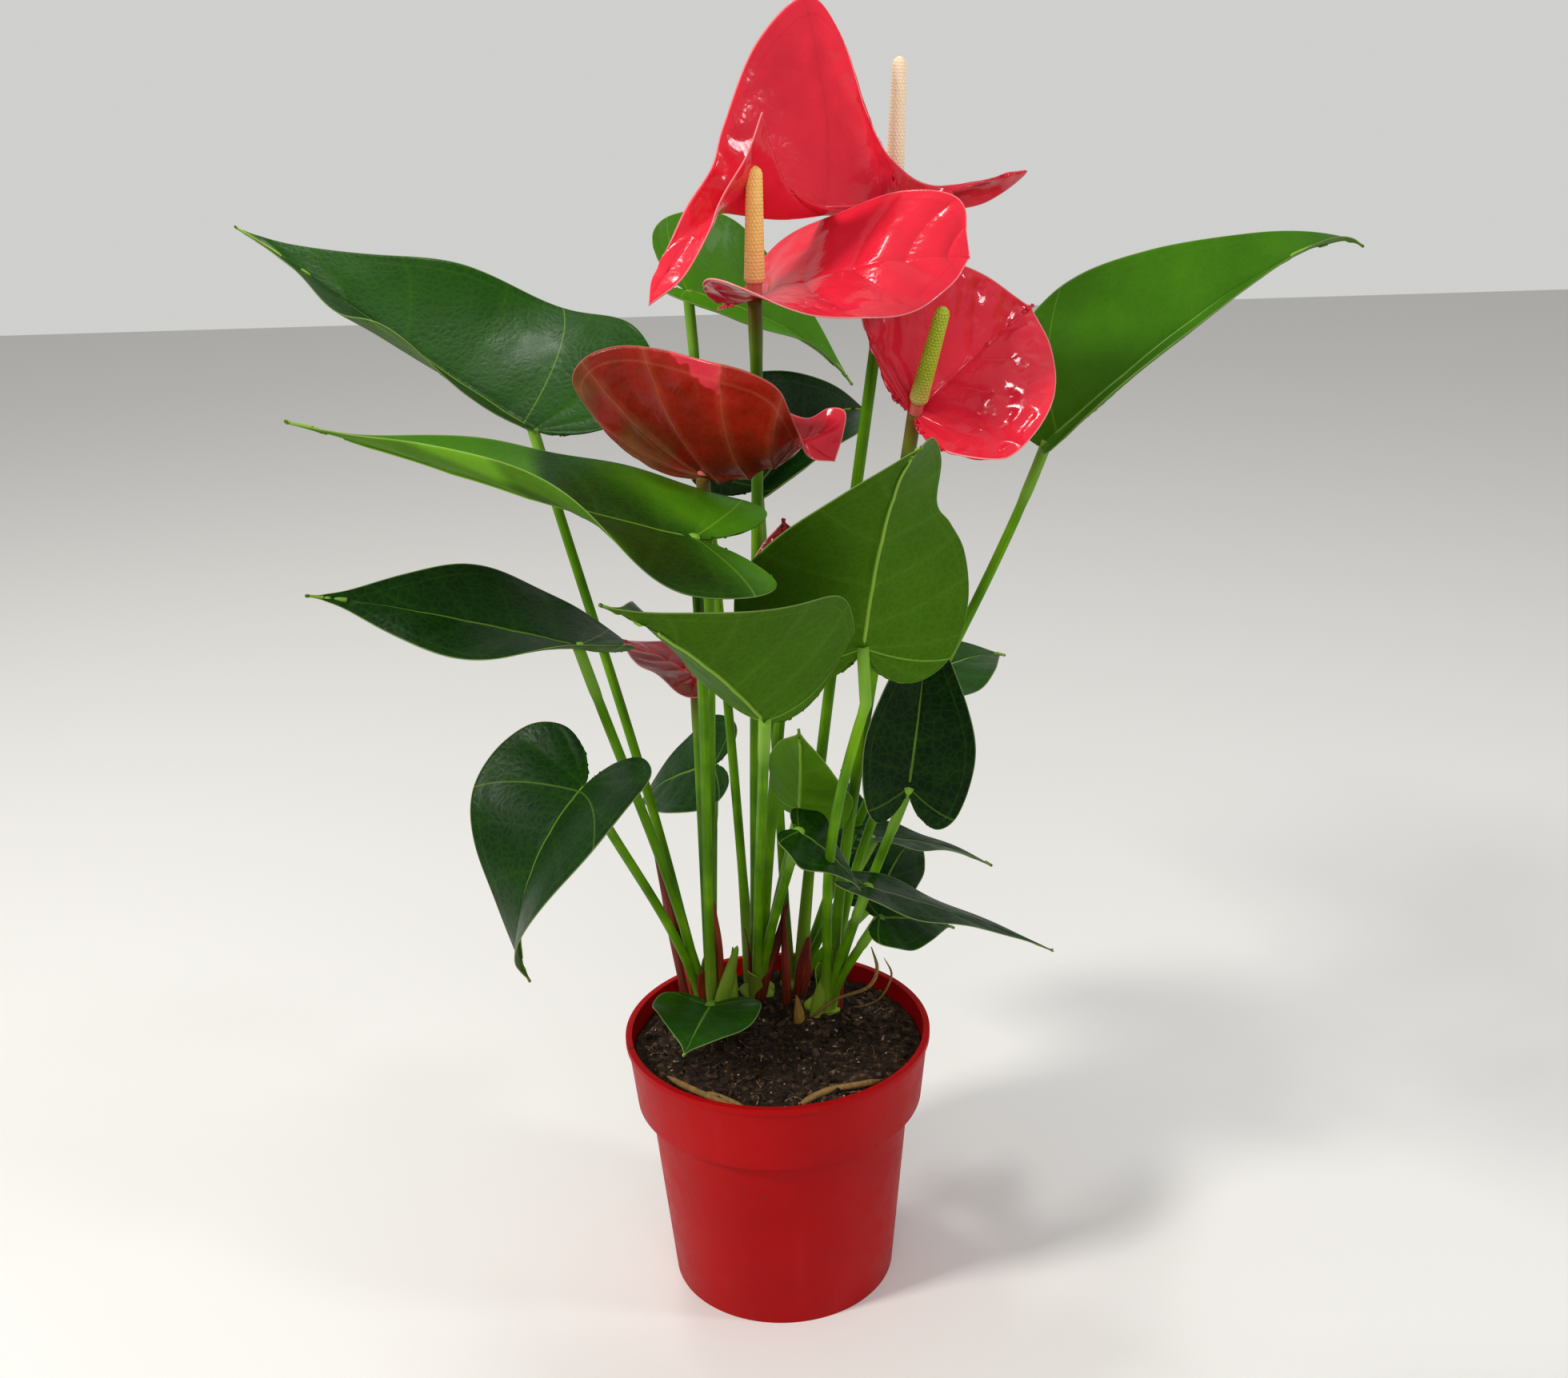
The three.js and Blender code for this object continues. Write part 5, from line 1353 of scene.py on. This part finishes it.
for number, crown in enumerate(CROWNS):
    bars = [crown_head(crown)]
    bars += [stalk(leaf, PETIOLE_RADIUS, 0.0) for leaf in LEAVES if leaf["crown"] == number]
    bars += [stalk(bloom, PEDUNCLE_RADIUS, 0.85) for bloom in BLOOMS if bloom["crown"] == number]
    made = joined(crown["name"].replace("crown", "stalks"), bars)
    smooth(made)
    hand_over(made, stalk_skin, "stalks", crown["name"])

for name, *sizes in WRAPS:
    owner = next(spec for spec in LEAVES + BLOOMS if spec["name"] == name)
    hand_over(wrapping_sheath("wrap_" + name, owner, *sizes), dry_sheath, sheath_slot(sizes[-1]))

for name, line, width, tone in BRACTS:
    hand_over(bract(name, line, width, tone), dry_sheath, sheath_slot(tone))

for spec in SHOOTS:
    made = shoot(spec)
    smooth(made)
    hand_over(made, dry_sheath, sheath_slot(spec["tone"]), spec["name"])

# ---------------------------------------------------------------- floor, light and camera
select_only()
bpy.ops.mesh.primitive_plane_add(size=6)
floor = active("studio_floor")
paint, _ = new_material("matt paint, pale", Roughness=0.9, Base_Color=linear("#ECEBE8"))
floor.data.materials.append(paint)

world = bpy.data.worlds.new("studio")
world.use_nodes = True
world.node_tree.nodes["Background"].inputs[0].default_value = linear("#F0F0EE")
# The wall is seen whiter than it lights the plant, so that it casts no veil on the leaves.
seen = add_node(world.node_tree, "LightPath").outputs["Is Camera Ray"]
strength = add_node(world.node_tree, "MapRange", {0: seen, 3: 0.5, 4: 0.72}).outputs[0]
world.node_tree.links.new(strength, world.node_tree.nodes["Background"].inputs[1])
bpy.context.scene.world = world
bpy.context.scene.view_settings.view_transform = "Standard"


def softbox(name, at, target, size, power, colour, mirrored=True):
    """A lamp at a place, facing a target, in metres and watts. mirrored: whether gloss reflects it."""
    lamp = bpy.data.lights.new(name, "AREA")
    lamp.shape, lamp.size, lamp.size_y, lamp.energy = "RECTANGLE", size[0], size[1], power
    lamp.color = linear(colour)[:3]
    box = bpy.data.objects.new(name, lamp)
    bpy.context.collection.objects.link(box)
    box.location = at
    box.rotation_euler = (Vector(target) - Vector(at)).to_track_quat("-Z", "Y").to_euler()
    box.visible_glossy = mirrored


softbox("window_left", (-1.2, -0.65, 1.25), (0, 0, 0.3), (0.26, 0.26), 18, "#FFFAF4")
softbox("panel_right", (1.3, -0.37, 1), (0, 0, 0.4), (0.2, 0.2), 4.5, "#FAFAFF")
softbox("ceiling_panel", (-0.35, 0.45, 1.6), (0.05, 0, 0.38), (0.2, 0.2), 5, "#FFFFFF")
softbox("front_fill", (0.1, -1.7, 1.3), (0, 0, 0.25), (1.4, 1.0), 7.5, "#FFFFFF", mirrored=False)

# Half of the photograph's width and its focal length, both in its pixels.
HALF_WIDTH, FOCAL_LENGTH = 980, 2170
eye, look_at, roll = Vector((0, -0.603, 0.462)), Vector((0.0063, 0, 0.248)), math.radians(-1.62)
ahead = (look_at - eye).normalized()
right = ahead.cross(Vector((0, 0, 1))).normalized()
up = right.cross(ahead)
right, up = right * math.cos(roll) + up * math.sin(roll), up * math.cos(roll) - right * math.sin(roll)
lens = bpy.data.cameras.new("camera")
lens.sensor_fit = "HORIZONTAL"
lens.angle_x = 2 * math.atan(HALF_WIDTH / FOCAL_LENGTH)
camera = bpy.data.objects.new("camera", lens)
bpy.context.collection.objects.link(camera)
turned = Matrix((right, up, -ahead)).transposed().to_4x4()
camera.matrix_world = Matrix.Translation(eye) @ turned
bpy.context.scene.camera = camera
